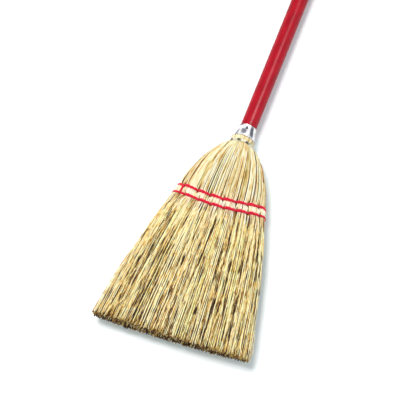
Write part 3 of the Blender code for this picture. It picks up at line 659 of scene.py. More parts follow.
def slow_noise(count, depth, waves, chance):
    """Smooth noise down the straw, for each of a number of things.

    It is a sum of sines of the given wavelengths, random in height and phase, by the root of how many.
    """
    total = np.zeros((count, depth.shape[-1]))
    for wave in waves:
        phase = chance.uniform(0.0, 2 * math.pi, (count, 1))
        total += chance.normal(0.0, 1.0, (count, 1)) * np.sin(2 * math.pi * depth / wave + phase)
    return total / math.sqrt(len(waves))


def stitch_round(row, across_share):
    """The share of the way round where a stitch comes out on the face that shows."""
    level = int(round(row / STRAW_LENGTH * (SECTION_LEVELS - 1)))
    face = sections[level, :SECTION_COLUMNS // 2 + 1, 0]
    return np.interp(-across_share * face.max(), -face, np.arange(len(face))) / SECTION_COLUMNS


def fading(distance, reach, power=2):
    """What is left of one at a distance: e to the minus power of the distance by the reach."""
    return np.exp(-np.abs(distance / reach) ** power)


def sewn(share, depth):
    """How the stitches move straw: its way round, its sinking, how near one it is, and its slit's shade.

    The parting fades by e to the minus distance across the straw, the other three by e to the minus
    square of it, and all of them by e to the minus square of the distance from the row, each distance
    by its reach.
    """
    parted, sunk, near, slit = np.zeros((4, *share.shape))
    girth = around(depth)
    for row, stitches in ((UPPER_ROW_DEPTH, UPPER_STITCH_SHARES), (LOWER_ROW_DEPTH, LOWER_STITCH_SHARES)):
        by_row = fading(depth - row, STITCH_REACH_ALONG)
        for across_share in stitches:
            front = stitch_round(row, across_share)
            for hole in (front, 1.0 - front):
                apart = (share - hole) * girth / STITCH_REACH_ACROSS
                parted += STITCH_PART * np.sign(apart) * fading(apart, 1, power=1) * by_row / girth
                sunk += STITCH_DIMPLE * fading(apart, DIMPLE_REACH_SHARE) * by_row
                near = np.maximum(near, fading(apart, FLAT_REACH_SHARE) * by_row)
                slit = np.maximum(slit, fading(apart * STITCH_REACH_ACROSS, SLIT_WIDTH) * by_row)
    return parted, sunk, near, slit


def tubes(paths, outward, half_widths, half_heights, sides):
    """Corners and faces of many tubes at once, an oval carried along each path.

    The paths are tubes by rings by 3. Each corner is its ring's place, plus the half width times the
    cosine of its turn sideways, plus the half height times the sine outward, so one corner of each ring
    points out.
    """
    along = np.gradient(paths, axis=1)
    along /= np.linalg.norm(along, axis=2, keepdims=True)
    outward = outward - (outward * along).sum(axis=2, keepdims=True) * along
    outward /= np.linalg.norm(outward, axis=2, keepdims=True)
    sideways = np.cross(along, outward)
    turn = math.pi / 2 + 2 * math.pi * np.arange(sides) / sides
    corners = (
        paths[:, :, None] + (half_widths[..., None] * np.cos(turn))[..., None] * sideways[:, :, None]
        + (half_heights[..., None] * np.sin(turn))[..., None] * outward[:, :, None]
    )
    count, rings = paths.shape[:2]
    first = np.arange(count)[:, None] * rings * sides
    walls = (first[:, :, None] + grid_faces(rings, sides)[None]).reshape(-1, 4)
    ends = np.concatenate([first + end for end in end_faces(rings, sides)])
    return corners, [walls, ends]


def straw_marks(tone, along, sides, edge, chance):
    """The marks of each corner of many straws: how pale it is, its straw's number, and its way along.

    It is as pale as the straw's tone where it points out, less the edge times one minus its sine
    elsewhere: painted shade down the straw's sides.
    """
    number = chance.random((len(tone), 1)) + 0 * along
    rings = np.stack(np.broadcast_arrays(tone, number, along), axis=-1)
    marks = np.repeat(rings[:, :, None], sides, axis=2)
    marks[..., 0] -= edge * (1 - np.sin(math.pi / 2 + 2 * math.pi * np.arange(sides) / sides))
    return marks


order = np.arange(STEMS) % len(LAYER_INSETS)
stem_ends = chance.uniform(*STEM_END, STEMS)[:, None]
last_steps = np.arange(1, STEM_END_RINGS + 1) / STEM_END_RINGS
stem_depths = np.concatenate([
    np.repeat(STEM_DEPTHS[None], STEMS, axis=0),
    STEM_DEPTHS[-1] + (stem_ends - STEM_DEPTHS[-1]) * last_steps,
], axis=1)
stem_depths[:, 0] += chance.uniform(0.0, BUTT_RAGGEDNESS, STEMS)
stem_places = np.arange(STEMS) + chance.uniform(-STEM_SHIFT, STEM_SHIFT, STEMS)
stem_shares = (stem_places / STEMS)[:, None] + 0 * stem_depths
wander = chance.uniform(-1, 1, (STEMS, 1))
wander = wander * np.sin(stem_depths / WANDER_LENGTH + chance.uniform(*WANDER_PHASES, (STEMS, 1)))
stem_shares += wander * WANDER * smooth_step(stem_depths, *WANDER_DEPTHS) / around(stem_depths)
parted, sunk, near, slit = sewn(stem_shares, stem_depths)
collar_girth, row_girth = around(BUTT_DEPTH), around(UPPER_ROW_DEPTH)
growth = np.clip((around(stem_depths) - collar_girth) / (row_girth - collar_girth), 0.0, 1.0)
to_left = smooth_step(stem_shares[:, :1], *LEFT_SIDE)
from_rows = stem_depths - (UPPER_ROW_DEPTH + LOWER_ROW_DEPTH) / 2

stem_size = chance.uniform(*STEM_SIZES, (STEMS, 1))
stem_taper = 1 - STEM_THINNING * smooth_step(stem_depths, stem_ends - STEM_TAPER, stem_ends)
widths = STEM_HALF_WIDTH * LAYER_WIDTHS[order][:, None] * stem_size
widths = widths * (COLLAR_WIDTH_SHARE + WIDTH_GAIN * growth) * stem_taper
heights = STEM_HALF_HEIGHT * stem_size * (1.0 - HEIGHT_LOSS * growth) * stem_taper
inset = LAYER_INSETS[order][:, None] * (1 - (INSET_LOSS + LEFT_INSET_LOSS * to_left) * growth)
inset = inset * (1 - ROWS_INSET_LOSS * fading(from_rows, ROWS_INSET_REACH))
pillow = PILLOW_HEIGHT * fading(from_rows, PILLOW_REACH)
proud = (
    STEM_PROUD - heights - inset + chance.uniform(*STEM_UNEVENNESS, (STEMS, 1)) * growth - sunk
    + pillow * (1 - near)
    - STEM_END_SINK * smooth_step(stem_depths, LOWER_ROW_DEPTH, stem_ends)
)
stem_paths, stem_outs = on_head(stem_shares + parted, stem_depths, proud)

# Fewer stems are brown or gold at the left: painted light on the side the large softbox is on
kind = chance.random((STEMS, 1)) + LAYER_BROWNING[order][:, None] * (1 - LEFT_PAINTED_LIGHT * to_left)
gold_from = GOLD_FROM + (LEFT_GOLD_FROM - GOLD_FROM) * to_left
stem_tone = np.where(kind > BROWN_FROM, BROWN_STEM, np.where(kind > gold_from, GOLD_STEM, PALE_STEM))
stem_tone = stem_tone + chance.normal(0.0, TONE_SPREAD, (STEMS, 1))
stem_tone = stem_tone + TONE_DRIFT * slow_noise(STEMS, stem_depths, TONE_DRIFT_WAVES, chance)
# Painted highlight on the pillows between the rows
stem_tone += ROWS_PAINTED_HIGHLIGHT * fading(from_rows, ROWS_PALE_REACH, power=4)
stem_tone -= SLIT_SHADE * slit
# Painted shadow of the ferrule's mouth on the butts
stem_tone[:, :1] -= BUTT_SHADE
corners, faces = tubes(stem_paths, stem_outs, widths, heights, STEM_SIDES)
add_piece(
    "covering_stems", corners, faces, stem_straw, ["front_cover_straw", "back_cover_straw"],
    marks=straw_marks(stem_tone, STEM_DASH_STRETCH * stem_depths, STEM_SIDES, STEM_EDGE_SHADE, chance),
)


# Sweeping fibres of the cover
# Below the rows each stem has parted. Thin, crinkled fibres lie in clumps as a brown bed, and straight
# pale strands lie on them, which start and end all along the head. Short dark bits are painted shade,
# laid where deeper straw would lie in shade between them, and partings open here and there, darkened
# with painted shade.

FIBRE_START = 0.100
FIBRE_SIDES = 3
FIBRE_HEIGHT_SHARE = 0.9
# Past the backing the straw comes loose: where that starts, and where it is free and where it is risen
LOOSE_FROM = BACKING_DEPTH - 0.004
FREE_FROM = BACKING_DEPTH + 0.03
RISEN_FROM = BACKING_DEPTH + 0.014
UNRISEN_DEPTH = 0.0016
DARK_BIT_UNRISEN_SHARE = 0.3
RING_SHIFT = 0.35
TONE_RANGE = (-0.3, 1.3)
FIBRE_EDGE_SHADE = 0.08

# The bed: number, depth, width and how it narrows to the tips, crinkle, and tone with its spread, its
# fall to the tips and its change by rings
BED_FIBRES = 1300
BED_RINGS = 16
BED_DEPTH = (0.0010, 0.0028)
BED_HALF_WIDTH = 0.00056
BED_SIZES = (0.7, 1.2)
BED_WIDTH_SHARE, BED_NARROWING = 1.15, 0.3
BED_CRINKLE = 0.00022
BED_TONE, BED_TONE_SPREAD, BED_TONE_FALL, BED_TONE_CHANGE = 0.80, 0.24, 0.16, 0.05
# Clumps of the bed: breadths, then how much they gather, with its sway and waves, lift and painted shade
CLUMPS = 105
CLUMP_BREADTHS = (0.5, 1.5)
CLUMP_LEVELS = 80
CLUMP_LEVELS_PAST_TRIM = 0.01
GATHERING, GATHERING_SHARE, GATHERING_SWAY, MOST_GATHERING = 0.24, 0.9, 0.8, 0.8
GATHERING_WAVES = (0.03, 0.06, 0.12)
CLUMP_LIFT, UNGATHERED_LIFT_SHARE = 0.0008, 0.3
CLUMP_SHADE = 0.2

# The strands: five kinds by turns, with half width, depth and tone of each, narrower to the tips too
STRANDS = 360
STRAND_RINGS = 20
STRAND_SIDES = 6
STRAND_HALF_WIDTHS = np.array((0.00064, 0.00052, 0.00050, 0.00054, 0.00052))
STRAND_DEPTHS = np.array((0.0001, 0.0009, 0.0005, 0.0007, 0.0008))
STRAND_TONES = np.array((1.24, 0.62, 1.10, 0.00, 0.92))
STRAND_TONE_SPREAD = 0.10
STRAND_SIZES = (0.75, 1.2)
STRAND_WIDTH_SHARE, STRAND_NARROWING = 1.1, 0.15
STRAND_UNEVENNESS = 0.0003
# Chances of a strand being out of turn, starting late and ending short, and by how much
OUT_OF_TURN, LATE_CHANCE, SHORT_CHANCE = 0.12, 0.42, 0.32
LATE_BY, SHORT_LENGTH = (0.015, 0.15), (0.03, 0.12)
# How strands sway sideways and out, in metres and by waves, and how they dive where they start or end
SIDE_SWAY, SIDE_WAVES, SIDE_CRINKLE = 0.0004, (0.08, 0.15), 0.00010
OUT_SWAY, OUT_WAVES = 0.0003, (0.05,)
STRAND_DIVE, STRAND_DIVE_LENGTH = 0.0024, 0.012
# How far strands are bleached under the rows, and down to which part of the way to the trim
BLEACHING, BLEACH_REACH = 0.15, 0.22

# The dark bits are painted shade: dark straws laid where there is shade between the strands
# The dark bits: number, size, depth, how their ends bow under, length, tone, and crowding to the tips
DARK_BITS = 620
DARK_BIT_RINGS = 7
DARK_BIT_HALF_WIDTH = 0.00050
DARK_BIT_SIZES = (0.7, 1.3)
DARK_BIT_DEPTH = (0.0001, 0.0005)
DARK_BIT_BOW = 0.0012
DARK_BIT_LENGTH = (0.010, 0.034)
DARK_BIT_TONE, DARK_BIT_TONE_SPREAD = -0.12, 0.10
DARK_BIT_CROWDING = 0.66
# Least lengths that they leave to the trim, for their starts and their ends
DARK_BIT_START_MARGIN, DARK_BIT_END_MARGIN = 0.006, 0.001

# The trimmed edge: spread of the cut, and how far past the trim a face ends at its two sides
CUT_SPREAD = 0.0015
FRONT_PAST_TRIM = (0.0040, 0.0006)
BACK_PAST_TRIM = (0.0028, 0.0028)
# How much darker the cut ends are, from and to; at the back it is painted shade under the bottom edge
FRONT_BUTT_SHADES = (0.0, 0.4)
BACK_BUTT_SHADES = (0.3, 0.7)

CHANCE_PARTINGS = 40
CHANCE_PARTING_SHARES = (0.02, 0.48)
CHANCE_PARTING_LENGTHS = (0.008, 0.035)
CHANCE_PARTING_SLANT = 0.002
CHANCE_PARTING_OPENINGS = (0.0001, 0.0004)
CHANCE_PARTING_MARGIN = 0.02
PARTING_REACH = 0.0035
# A parting's ends fade from outside to inside of it, and painted shade darkens straw close by its line
PARTING_FADE_OUTSIDE, PARTING_FADE_INSIDE = 0.010, 0.005
PARTING_SHADE = 2600
PARTING_SHADE_REACH = 0.0004
# The partings that stand out: share of the way round at both ends, depth of both ends, half opening
FRONT_PARTINGS = np.array((
    (0.2345, 0.2455, 0.114, 0.208, 0.0009), (0.4510, 0.4533, 0.256, 0.290, 0.0008),
    (0.2983, 0.3290, 0.242, 0.280, 0.0006), (0.1525, 0.1533, 0.240, 0.260, 0.0006),
    (0.1350, 0.1358, 0.240, 0.257, 0.0006), (0.1192, 0.1175, 0.238, 0.256, 0.0006),
    (0.1025, 0.1008, 0.268, 0.292, 0.0006), (0.0700, 0.0708, 0.216, 0.236, 0.0005),
    (0.0733, 0.0758, 0.158, 0.182, 0.0005), (0.4533, 0.4525, 0.223, 0.242, 0.0005),
    (0.0800, 0.0817, 0.231, 0.242, 0.0005), (0.1283, 0.1308, 0.264, 0.277, 0.0005),
))


def chance_partings(count, seed):
    """Short partings at random places of a face: the share and the depth of both ends, and half opening."""
    chance = np.random.default_rng(seed)
    share = chance.uniform(*CHANCE_PARTING_SHARES, count)
    upper = chance.uniform(BACKING_DEPTH, STRAW_LENGTH - CHANCE_PARTING_MARGIN, count)
    length = chance.uniform(*CHANCE_PARTING_LENGTHS, count)
    far_share = share + chance.normal(0.0, CHANCE_PARTING_SLANT, count)
    opening = chance.uniform(*CHANCE_PARTING_OPENINGS, count)
    return np.stack([share, far_share, upper, upper + length, opening], axis=1)


def opened(breadth, depths, partings):
    """How the partings of a face move straw sideways, and how much shade is painted on it.

    Both fade with the distance from the parting's line, by e to the minus distance by the reach, and
    past its two ends by smooth steps.
    """
    sideways, shade = np.zeros(depths.shape), np.zeros(depths.shape)
    girth = around(depths)
    for near_share, far_share, upper, lower, opening in partings:
        down = np.clip((depths - upper) / (lower - upper), 0.0, 1.0)
        apart = (breadth / 2 - near_share - (far_share - near_share) * down) * girth
        begun = smooth_step(depths, upper - PARTING_FADE_OUTSIDE, upper + PARTING_FADE_INSIDE)
        ended = smooth_step(depths, lower - PARTING_FADE_INSIDE, lower + PARTING_FADE_OUTSIDE)
        window = begun * (1 - ended)
        sideways += np.sign(apart) * opening * fading(apart, PARTING_REACH, power=1) * window
        shade += PARTING_SHADE * opening * fading(apart, PARTING_SHADE_REACH, power=1) * window
    return sideways, shade


def clumped(breadth, depths, chance):
    """How fibres gather into clumps side by side: their move sideways, their lift, and their painted shade.

    Inside a clump a fibre's place runs from minus one to one. It moves to the middle by its place times
    the gathering, which is slow noise down the clump. It is lifted by one half less the square of its
    place, times a share plus the gathering, and darkened by the fourth power of it times the gathering:
    painted shade at the clump's edges.
    """
    breadths = chance.uniform(*CLUMP_BREADTHS, CLUMPS)
    edges = np.concatenate([[0.0], np.cumsum(breadths)]) / breadths.sum()
    clump = np.clip(np.searchsorted(edges, breadth[:, 0]) - 1, 0, CLUMPS - 1)
    half = (edges[clump + 1] - edges[clump])[:, None] / 2
    inside = (breadth - edges[clump][:, None]) / half - 1
    levels = np.linspace(FIBRE_START, STRAW_LENGTH + CLUMP_LEVELS_PAST_TRIM, CLUMP_LEVELS)
    gather = GATHERING_SHARE + GATHERING_SWAY * slow_noise(CLUMPS, levels, GATHERING_WAVES, chance)
    gather = np.clip(GATHERING * gather, 0.0, MOST_GATHERING)
    level = np.clip((depths - levels[0]) / (levels[1] - levels[0]), 0, CLUMP_LEVELS - 1.001)
    row = level.astype(int)
    column = clump[:, None]
    here = gather[column, row] * (1 - level + row) + gather[column, row + 1] * (level - row)
    lift = CLUMP_LIFT * (0.5 - inside ** 2) * (UNGATHERED_LIFT_SHARE + here)
    return -inside * half * around(depths) / 2 * here, lift, CLUMP_SHADE * here * inside ** 4


def fibre_span(kind, breadth, past_trim, chance):
    """Where loose straws start and end down the head, and which strands start late or end short."""
    each = breadth.shape
    starts = np.full(each, FIBRE_START)
    ends = STRAW_LENGTH + past_trim[0] + (past_trim[1] - past_trim[0]) * breadth
    ends += CUT_SPREAD * np.clip(chance.normal(0.0, 1.0, each), -2.0, 2.0)
    late, short = chance.random(each) < LATE_CHANCE, chance.random(each) < SHORT_CHANCE
    if kind == "strands":
        starts = starts + late * chance.uniform(*LATE_BY, each)
        ends = np.where(short, np.minimum(starts + chance.uniform(*SHORT_LENGTH, each), ends), ends)
    if kind == "dark_bits":
        down = chance.random(each) ** DARK_BIT_CROWDING
        starts = BACKING_DEPTH + (STRAW_LENGTH - DARK_BIT_START_MARGIN - BACKING_DEPTH) * down
        ends = np.minimum(starts + chance.uniform(*DARK_BIT_LENGTH, each), ends - DARK_BIT_END_MARGIN)
    return starts, ends, late, short


def bed_form(breadth, depths, sideways, shade, free, reach, chance):
    """The bed's move sideways, lift, half widths and tones: clumps, and crinkle drawn for each ring."""
    each = breadth.shape
    gathered, lift, darker = clumped(breadth, depths, chance)
    sideways, lift, shade = sideways + gathered * free, lift * free, shade + darker * free
    sideways += chance.normal(0.0, BED_CRINKLE, depths.shape)
    lift += chance.normal(0.0, BED_CRINKLE, depths.shape) - chance.uniform(*BED_DEPTH, each)
    narrowed = BED_WIDTH_SHARE - BED_NARROWING * reach
    half_widths = BED_HALF_WIDTH * chance.uniform(*BED_SIZES, each) * narrowed
    tone = chance.normal(BED_TONE, BED_TONE_SPREAD, each) - BED_TONE_FALL * reach - shade
    tone += chance.normal(0.0, BED_TONE_CHANGE, depths.shape)
    return sideways, lift, half_widths, tone


def dark_bit_form(steps, each, chance):
    """The dark bits' lift, half widths and tones. Ends bow under by the cube of the way from the middle."""
    lift = -chance.uniform(*DARK_BIT_DEPTH, each) - DARK_BIT_BOW * np.abs(2 * steps - 1) ** 3
    half_widths = DARK_BIT_HALF_WIDTH * chance.uniform(*DARK_BIT_SIZES, each) + 0 * steps
    tone = chance.normal(DARK_BIT_TONE, DARK_BIT_TONE_SPREAD, each) + 0 * steps
    return lift, half_widths, tone


def strand_form(depths, span, sideways, shade, free, reach, chance):
    """The strands' move sideways, lift, half widths and tones.

    They sway by slow noise, and a strand that starts late or ends short dives by a smooth step there.
    """
    starts, ends, late, short = span
    each, count = starts.shape, len(starts)
    sideways = sideways + SIDE_SWAY * slow_noise(count, depths, SIDE_WAVES, chance) * free
    sideways += chance.normal(0.0, SIDE_CRINKLE, depths.shape)
    kind = ((np.arange(count) + (chance.random(count) < OUT_OF_TURN)) % len(STRAND_TONES))[:, None]
    lift = -STRAND_DEPTHS[kind] - chance.uniform(0.0, STRAND_UNEVENNESS, each)
    lift = lift + OUT_SWAY * slow_noise(count, depths, OUT_WAVES, chance)
    lift -= STRAND_DIVE * late * (1 - smooth_step(depths, starts, starts + STRAND_DIVE_LENGTH))
    lift -= STRAND_DIVE * short * smooth_step(depths, ends - STRAND_DIVE_LENGTH, ends)
    narrowed = STRAND_WIDTH_SHARE - STRAND_NARROWING * reach
    half_widths = STRAND_HALF_WIDTHS[kind] * chance.uniform(*STRAND_SIZES, each) * narrowed
    tone = STRAND_TONES[kind] + chance.normal(0.0, STRAND_TONE_SPREAD, each) - shade
    tone = tone + (1 - tone) * BLEACHING * (1 - smooth_step(reach, 0.0, BLEACH_REACH))
    return sideways, lift, half_widths, tone


def cover_fibres(name, first_share, partings, seed, past_trim, butt_shades, replaced):
    """The loose straw of one cover, from under the rows to the trim, over half of the way round.

    A path is the head's surface at the straw's share of the way round, moved sideways, and lifted along
    the way out. The face starts at its first share, and past_trim is for its first and its last side.
    """
    chance = np.random.default_rng(seed)
    for kind, count, rings, sides in (
        ("bed", BED_FIBRES, BED_RINGS, FIBRE_SIDES), ("strands", STRANDS, STRAND_RINGS, STRAND_SIDES),
        ("dark_bits", DARK_BITS, DARK_BIT_RINGS, FIBRE_SIDES),
    ):
        breadth = (np.arange(count) + chance.uniform(0.0, 1.0, count))[:, None] / count
        span = fibre_span(kind, breadth, past_trim, chance)
        starts, ends = span[:2]
        steps = np.linspace(0.0, 1.0, rings)[None] + 0 * starts
        steps[:, 1:-1] += chance.uniform(-RING_SHIFT, RING_SHIFT, (count, rings - 2)) / (rings - 1)
        depths = starts + (ends - starts) * steps
        free = smooth_step(depths, LOOSE_FROM, FREE_FROM)
        reach = np.clip((depths - BACKING_DEPTH) / (STRAW_LENGTH - BACKING_DEPTH), 0.0, 1.0)
        under = UNRISEN_DEPTH * (1 - smooth_step(depths, LOOSE_FROM, RISEN_FROM))
        sideways, shade = opened(breadth, depths, partings)
        if kind == "bed":
            sideways, lift, half_widths, tone = bed_form(
                breadth, depths, sideways, shade, free, reach, chance
            )
        elif kind == "strands":
            sideways, lift, half_widths, tone = strand_form(
                depths, span, sideways, shade, free, reach, chance
            )
        else:
            under = under * DARK_BIT_UNRISEN_SHARE
            lift, half_widths, tone = dark_bit_form(steps, breadth.shape, chance)
        shares = first_share + breadth / 2 + sideways / around(depths)
        paths, outs = on_head(shares, depths, lift - under - half_widths)
        tone[:, -1:] -= chance.uniform(*butt_shades, (count, 1))
        corners, faces = tubes(paths, outs, half_widths, half_widths * FIBRE_HEIGHT_SHARE, sides)
        add_piece(
            name + "_" + kind, corners, faces, fibre_straw, replaced,
            marks=straw_marks(np.clip(tone, *TONE_RANGE), depths, sides, FIBRE_EDGE_SHADE, chance),
        )


front_partings = np.concatenate([FRONT_PARTINGS, chance_partings(CHANCE_PARTINGS, STRAW_SEED + 4)])
cover_fibres(
    "front", 0.0, front_partings, STRAW_SEED + 1, FRONT_PAST_TRIM, FRONT_BUTT_SHADES, ["front_cover_straw"],
)
back_partings = chance_partings(CHANCE_PARTINGS, STRAW_SEED + 5)
cover_fibres(
    "back", 0.5, back_partings, STRAW_SEED + 2, BACK_PAST_TRIM, BACK_BUTT_SHADES, ["back_cover_straw"],
)


# Sweeping fibres inside
# The core and the two shoulders end in the same fine fibres, browner because the outer straw shades
# them. They fill the head behind the cover and show as a dense brush at the trimmed edge.

INNER_FIBRES = 2100
INNER_HALF_WIDTH = 0.00078
INNER_SIZES = (0.7, 1.3)
# Shares of the half width where the fibres start and end
INNER_NARROWING = (1.1, 0.8)
INNER_RINGS = 8
INNER_START = 0.150
INNER_MARGIN = 0.0030
INNER_CRINKLE = 0.0004
# How far past the trim the middle fibres end, and how much less the front ones do
INNER_PAST_TRIM, INNER_TRIM_SLANT = 0.0014, 0.0010
# Some are broken off: their chance, and the usual length that they lack
BROKEN_CHANCE, BROKEN_LENGTH = 0.2, 0.006
INNER_TONE, INNER_TONE_SPREAD, INNER_TONE_CHANGE = 0.40, 0.20, 0.04
# How much paler a cut end is: dark pith, straw or pale rind
INNER_BUTT_TONES = (-0.6, -0.1, 0.5)
CORE_WIDTH_SHARE = 0.575

chance = np.random.default_rng(STRAW_SEED + 3)
each = (INNER_FIBRES, 1)
across_shares = chance.uniform(-1.0, 1.0, each)
out_shares = chance.uniform(-1.0, 1.0, each)
past_trim = INNER_PAST_TRIM - INNER_TRIM_SLANT * out_shares
inner_ends = STRAW_LENGTH + past_trim + chance.normal(0.0, CUT_SPREAD, each)
inner_ends -= (chance.random(each) < BROKEN_CHANCE) * chance.exponential(BROKEN_LENGTH, each)
inner_depths = INNER_START + (inner_ends - INNER_START) * np.linspace(0.0, 1.0, INNER_RINGS)
half_width, half_thickness, squareness = head_outline(np.clip(inner_depths, 0.0, STRAW_LENGTH))
inner_x = across_shares * (half_width - INNER_MARGIN)
fullness = (1 - np.abs(across_shares) ** squareness) ** (1 / squareness)
inner_out = out_shares * (half_thickness - INNER_MARGIN) * fullness
crinkle = chance.normal(0.0, INNER_CRINKLE, (2, INNER_FIBRES, INNER_RINGS))
settled, up = settle(inner_x + crinkle[0], inner_depths)
inner_paths = lay(settled, inner_out + crinkle[1], up)
inner_outs = np.zeros(inner_paths.shape) + out_of_face
inner_sizes = INNER_HALF_WIDTH * chance.uniform(*INNER_SIZES, each)
inner_sizes = inner_sizes * np.linspace(*INNER_NARROWING, INNER_RINGS)
inner_tone = chance.normal(INNER_TONE, INNER_TONE_SPREAD, each)
inner_tone = inner_tone + chance.normal(0.0, INNER_TONE_CHANGE, inner_depths.shape)
inner_tone[:, -1:] += chance.choice(INNER_BUTT_TONES, each)
side = np.sign(across_shares[:, 0]) * (np.abs(across_shares[:, 0]) > CORE_WIDTH_SHARE)
for name, which, replaced in (
    ("core_fibres", 0, "core_straw"), ("left_shoulder_fibres", -1, "left_shoulder_straw"),
    ("right_shoulder_fibres", 1, "right_shoulder_straw"),
):
    picked = side == which
    corners, faces = tubes(
        inner_paths[picked], inner_outs[picked], inner_sizes[picked], inner_sizes[picked], FIBRE_SIDES
    )
    add_piece(
        name, corners, faces, fibre_straw, [replaced],
        marks=straw_marks(inner_tone[picked], inner_depths[picked], FIBRE_SIDES, 0.0, chance),
    )


# Stray straws
# Single straws that lie outside the rest: thick ones with a reddish one among them at the left corner,
# thin ones at the right, and two dark reddish ones down the right shoulder. Each dives under the rest
# where it starts.

# Share of the way round, depth of both ends, height off the head, half width, tone, number
STRAY_STRAWS = np.array((
    (0.4960, 0.170, 0.3062, 0.0010, 0.0017, 0.60, 0.98),
    (0.4890, 0.200, 0.3055, 0.0010, 0.0013, 0.92, 0.50),
    (0.5040, 0.180, 0.3068, 0.0006, 0.0014, 0.74, 0.94),
    (0.9930, 0.240, 0.3035, 0.0012, 0.0004, 0.80, 0.50),
    (0.0030, 0.262, 0.3000, 0.0022, 0.0003, 0.86, 0.60),
    (0.8500, 0.280, 0.3085, 0.0000, 0.0006, 0.30, 0.95),
    (0.0450, 0.018, 0.0580, 0.0010, 0.0010, 0.26, 0.99),
    (0.0120, 0.052, 0.0860, 0.0004, 0.0008, 0.10, 0.98),
))
STRAY_RINGS = 12
STRAY_SIDES = 10
STRAY_DIVE, STRAY_DIVE_SHARE = 0.0035, 0.45
STRAY_BUTT_SHADE = 0.15

share, upper, lower, proud, half_width, tone, number = STRAY_STRAWS.T[..., None]
steps = np.linspace(0.0, 1.0, STRAY_RINGS)
stray_depths = upper + (lower - upper) * steps
stray_tones = tone + 0 * stray_depths
stray_tones[:, -1:] -= STRAY_BUTT_SHADE
stray_sizes = half_width + 0 * stray_depths
stray_proud = proud - half_width / 2 - STRAY_DIVE * (1 - smooth_step(steps, 0.0, STRAY_DIVE_SHARE))
stray_paths, stray_outs = on_head(share + 0 * stray_depths, stray_depths, stray_proud)
corners, faces = tubes(stray_paths, stray_outs, stray_sizes, stray_sizes, STRAY_SIDES)
marks = np.stack([stray_tones, number + 0 * stray_depths, stray_depths], axis=-1)
add_piece(
    "stray_straws", corners, faces, stem_straw, ["front_cover_straw"],
    marks=np.repeat(marks[:, :, None], STRAY_SIDES, axis=2),
)


# Ferrule
# A cap of thin tinplate spun over the neck: a small lip grips the handle, and the cap widens to a mouth
# that covers the hidden turns of the wire. It is bright, with shallow dents from the spinning, and its
# colour holds painted reflection: dark patches and bright white.

FERRULE_MOUTH_RADIUS = 0.0138
FERRULE_WALL = 0.0005
FERRULE_SEAT_GAP = 0.0003
FERRULE_COLUMNS = 144
# Dents: depth, then waves round, waves by height, phase and share of each of the two
DENT_DEPTH = 0.00018
DENTS = ((3, 0, 1.0, 1.0), (7, 300, 2.0, 0.6))
# They fade out up to these heights from the mouth and from the lip
DENT_MOUTH_FADE, DENT_LIP_FADE = (0.0, 0.004), (-0.014, -0.008)
# Height, and how far the wall has opened from the handle to the mouth
FERRULE_PROFILE_SHARES = np.array((
    (1.0, 0.15), (0.97, 0.06), (0.93, 0.0), (0.79, 0.0), (0.68, 0.09), (0.53, 0.44), (0.37, 0.735),
    (0.16, 0.91), (0.0, 1.0),
))
FERRULE_ROWS = 40

# Painted reflections: turn from the right edge, its change with height, height, reach of both, strength
PAINTED_REFLECTIONS = (
    (1.70, 0.4, 0.38, 0.33, 0.26, 0.62), (1.52, 0.0, 0.72, 0.14, 0.13, 0.90),
    (0.84, 0.16, 0.55, 0.24, 0.46, 0.92), (2.48, 0.0, 0.30, 0.30, 0.32, 0.60),
    (2.55, 0.0, 1.00, 0.50, 0.10, 0.90),
)

# The tinplate's colour is painted reflection: dark in the patches, grey, and white elsewhere
tinplate, graph, shader = new_material("tinplate", Metallic=0.35, Roughness=0.28)
_, reflection_tone = noisy_mark(graph, stretched_noise(graph, scale=500.0, squeeze=0.5), low=-0.06, high=0.06)
colour = ramp(graph, reflection_tone, (
    (0.0, (0.02, 0.035, 0.04)), (0.45, (0.30, 0.30, 0.35)), (0.9, (0.98, 0.98, 0.99)),
))
paint(graph, shader, colour, stretched_noise(graph, scale=300.0, squeeze=0.5), depth=0.0002)

seat = handle_radius + FERRULE_SEAT_GAP
heights = np.linspace(1.0, 0.0, FERRULE_ROWS)
opening = np.interp(heights, FERRULE_PROFILE_SHARES[::-1, 0], FERRULE_PROFILE_SHARES[::-1, 1])
inner = seat + opening * (FERRULE_MOUTH_RADIUS - seat)
radii = np.concatenate([inner + FERRULE_WALL, inner[::-1]])
ups = np.concatenate([heights, heights[::-1]]) * FERRULE_LENGTH
turn = np.linspace(0.0, 2 * math.pi, FERRULE_COLUMNS, endpoint=False)
ups, radii = ups[:, None], radii[:, None]
dent = sum(share * np.sin(waves * turn + rising * ups + phase) for waves, rising, phase, share in DENTS)
radii = radii + DENT_DEPTH * dent * (smooth_step(ups, *DENT_MOUTH_FADE) * smooth_step(-ups, *DENT_LIP_FADE))
# A patch of painted reflection fades by the fourth powers of the distances round and up
reflection_tone = np.ones(radii.shape)
for middle, lean, height, reach_round, reach_up, strength in PAINTED_REFLECTIONS:
    rise = ups / FERRULE_LENGTH - height
    apart = turn - middle - lean * rise
    reflection_tone -= strength * fading(apart, reach_round, power=4) * fading(rise, reach_up, power=4)
add_piece(
    "spun_ferrule", lay(radii * np.cos(turn), radii * np.sin(turn), ups),
    [grid_faces(2 * FERRULE_ROWS, FERRULE_COLUMNS, endless=True)], tinplate, ["ferrule"],
    marks=np.repeat(reflection_tone[..., None], 3, axis=2),
)


# Binding wire and its nail
# One length of steel wire, bright, with dark stretches across the front as painted reflection. Its
# tucked end starts in the groove, it winds two turns over the straw, rises through the seam and ends in
# two turns on the stick, where a small nail holds it.

WIRE_DIAMETER = 0.0014
WIRE_PITCH = 0.0017
WIRE_GROOVE_RADIUS = 0.0163
WIRE_UNDER_COLLAR = 0.0006
# The tucked end: how deep it starts, and how much of a turn it takes to come up
WIRE_TUCK, WIRE_TUCK_TURN = 0.0022, 0.01
WIRE_START_HEIGHT = 0.0015
GROOVE_TURNS = 2
HANDLE_TURNS = 2
WIRE_STEPS = 64
WIRE_RISE_STEPS = 22
WIRE_SIDES = 10
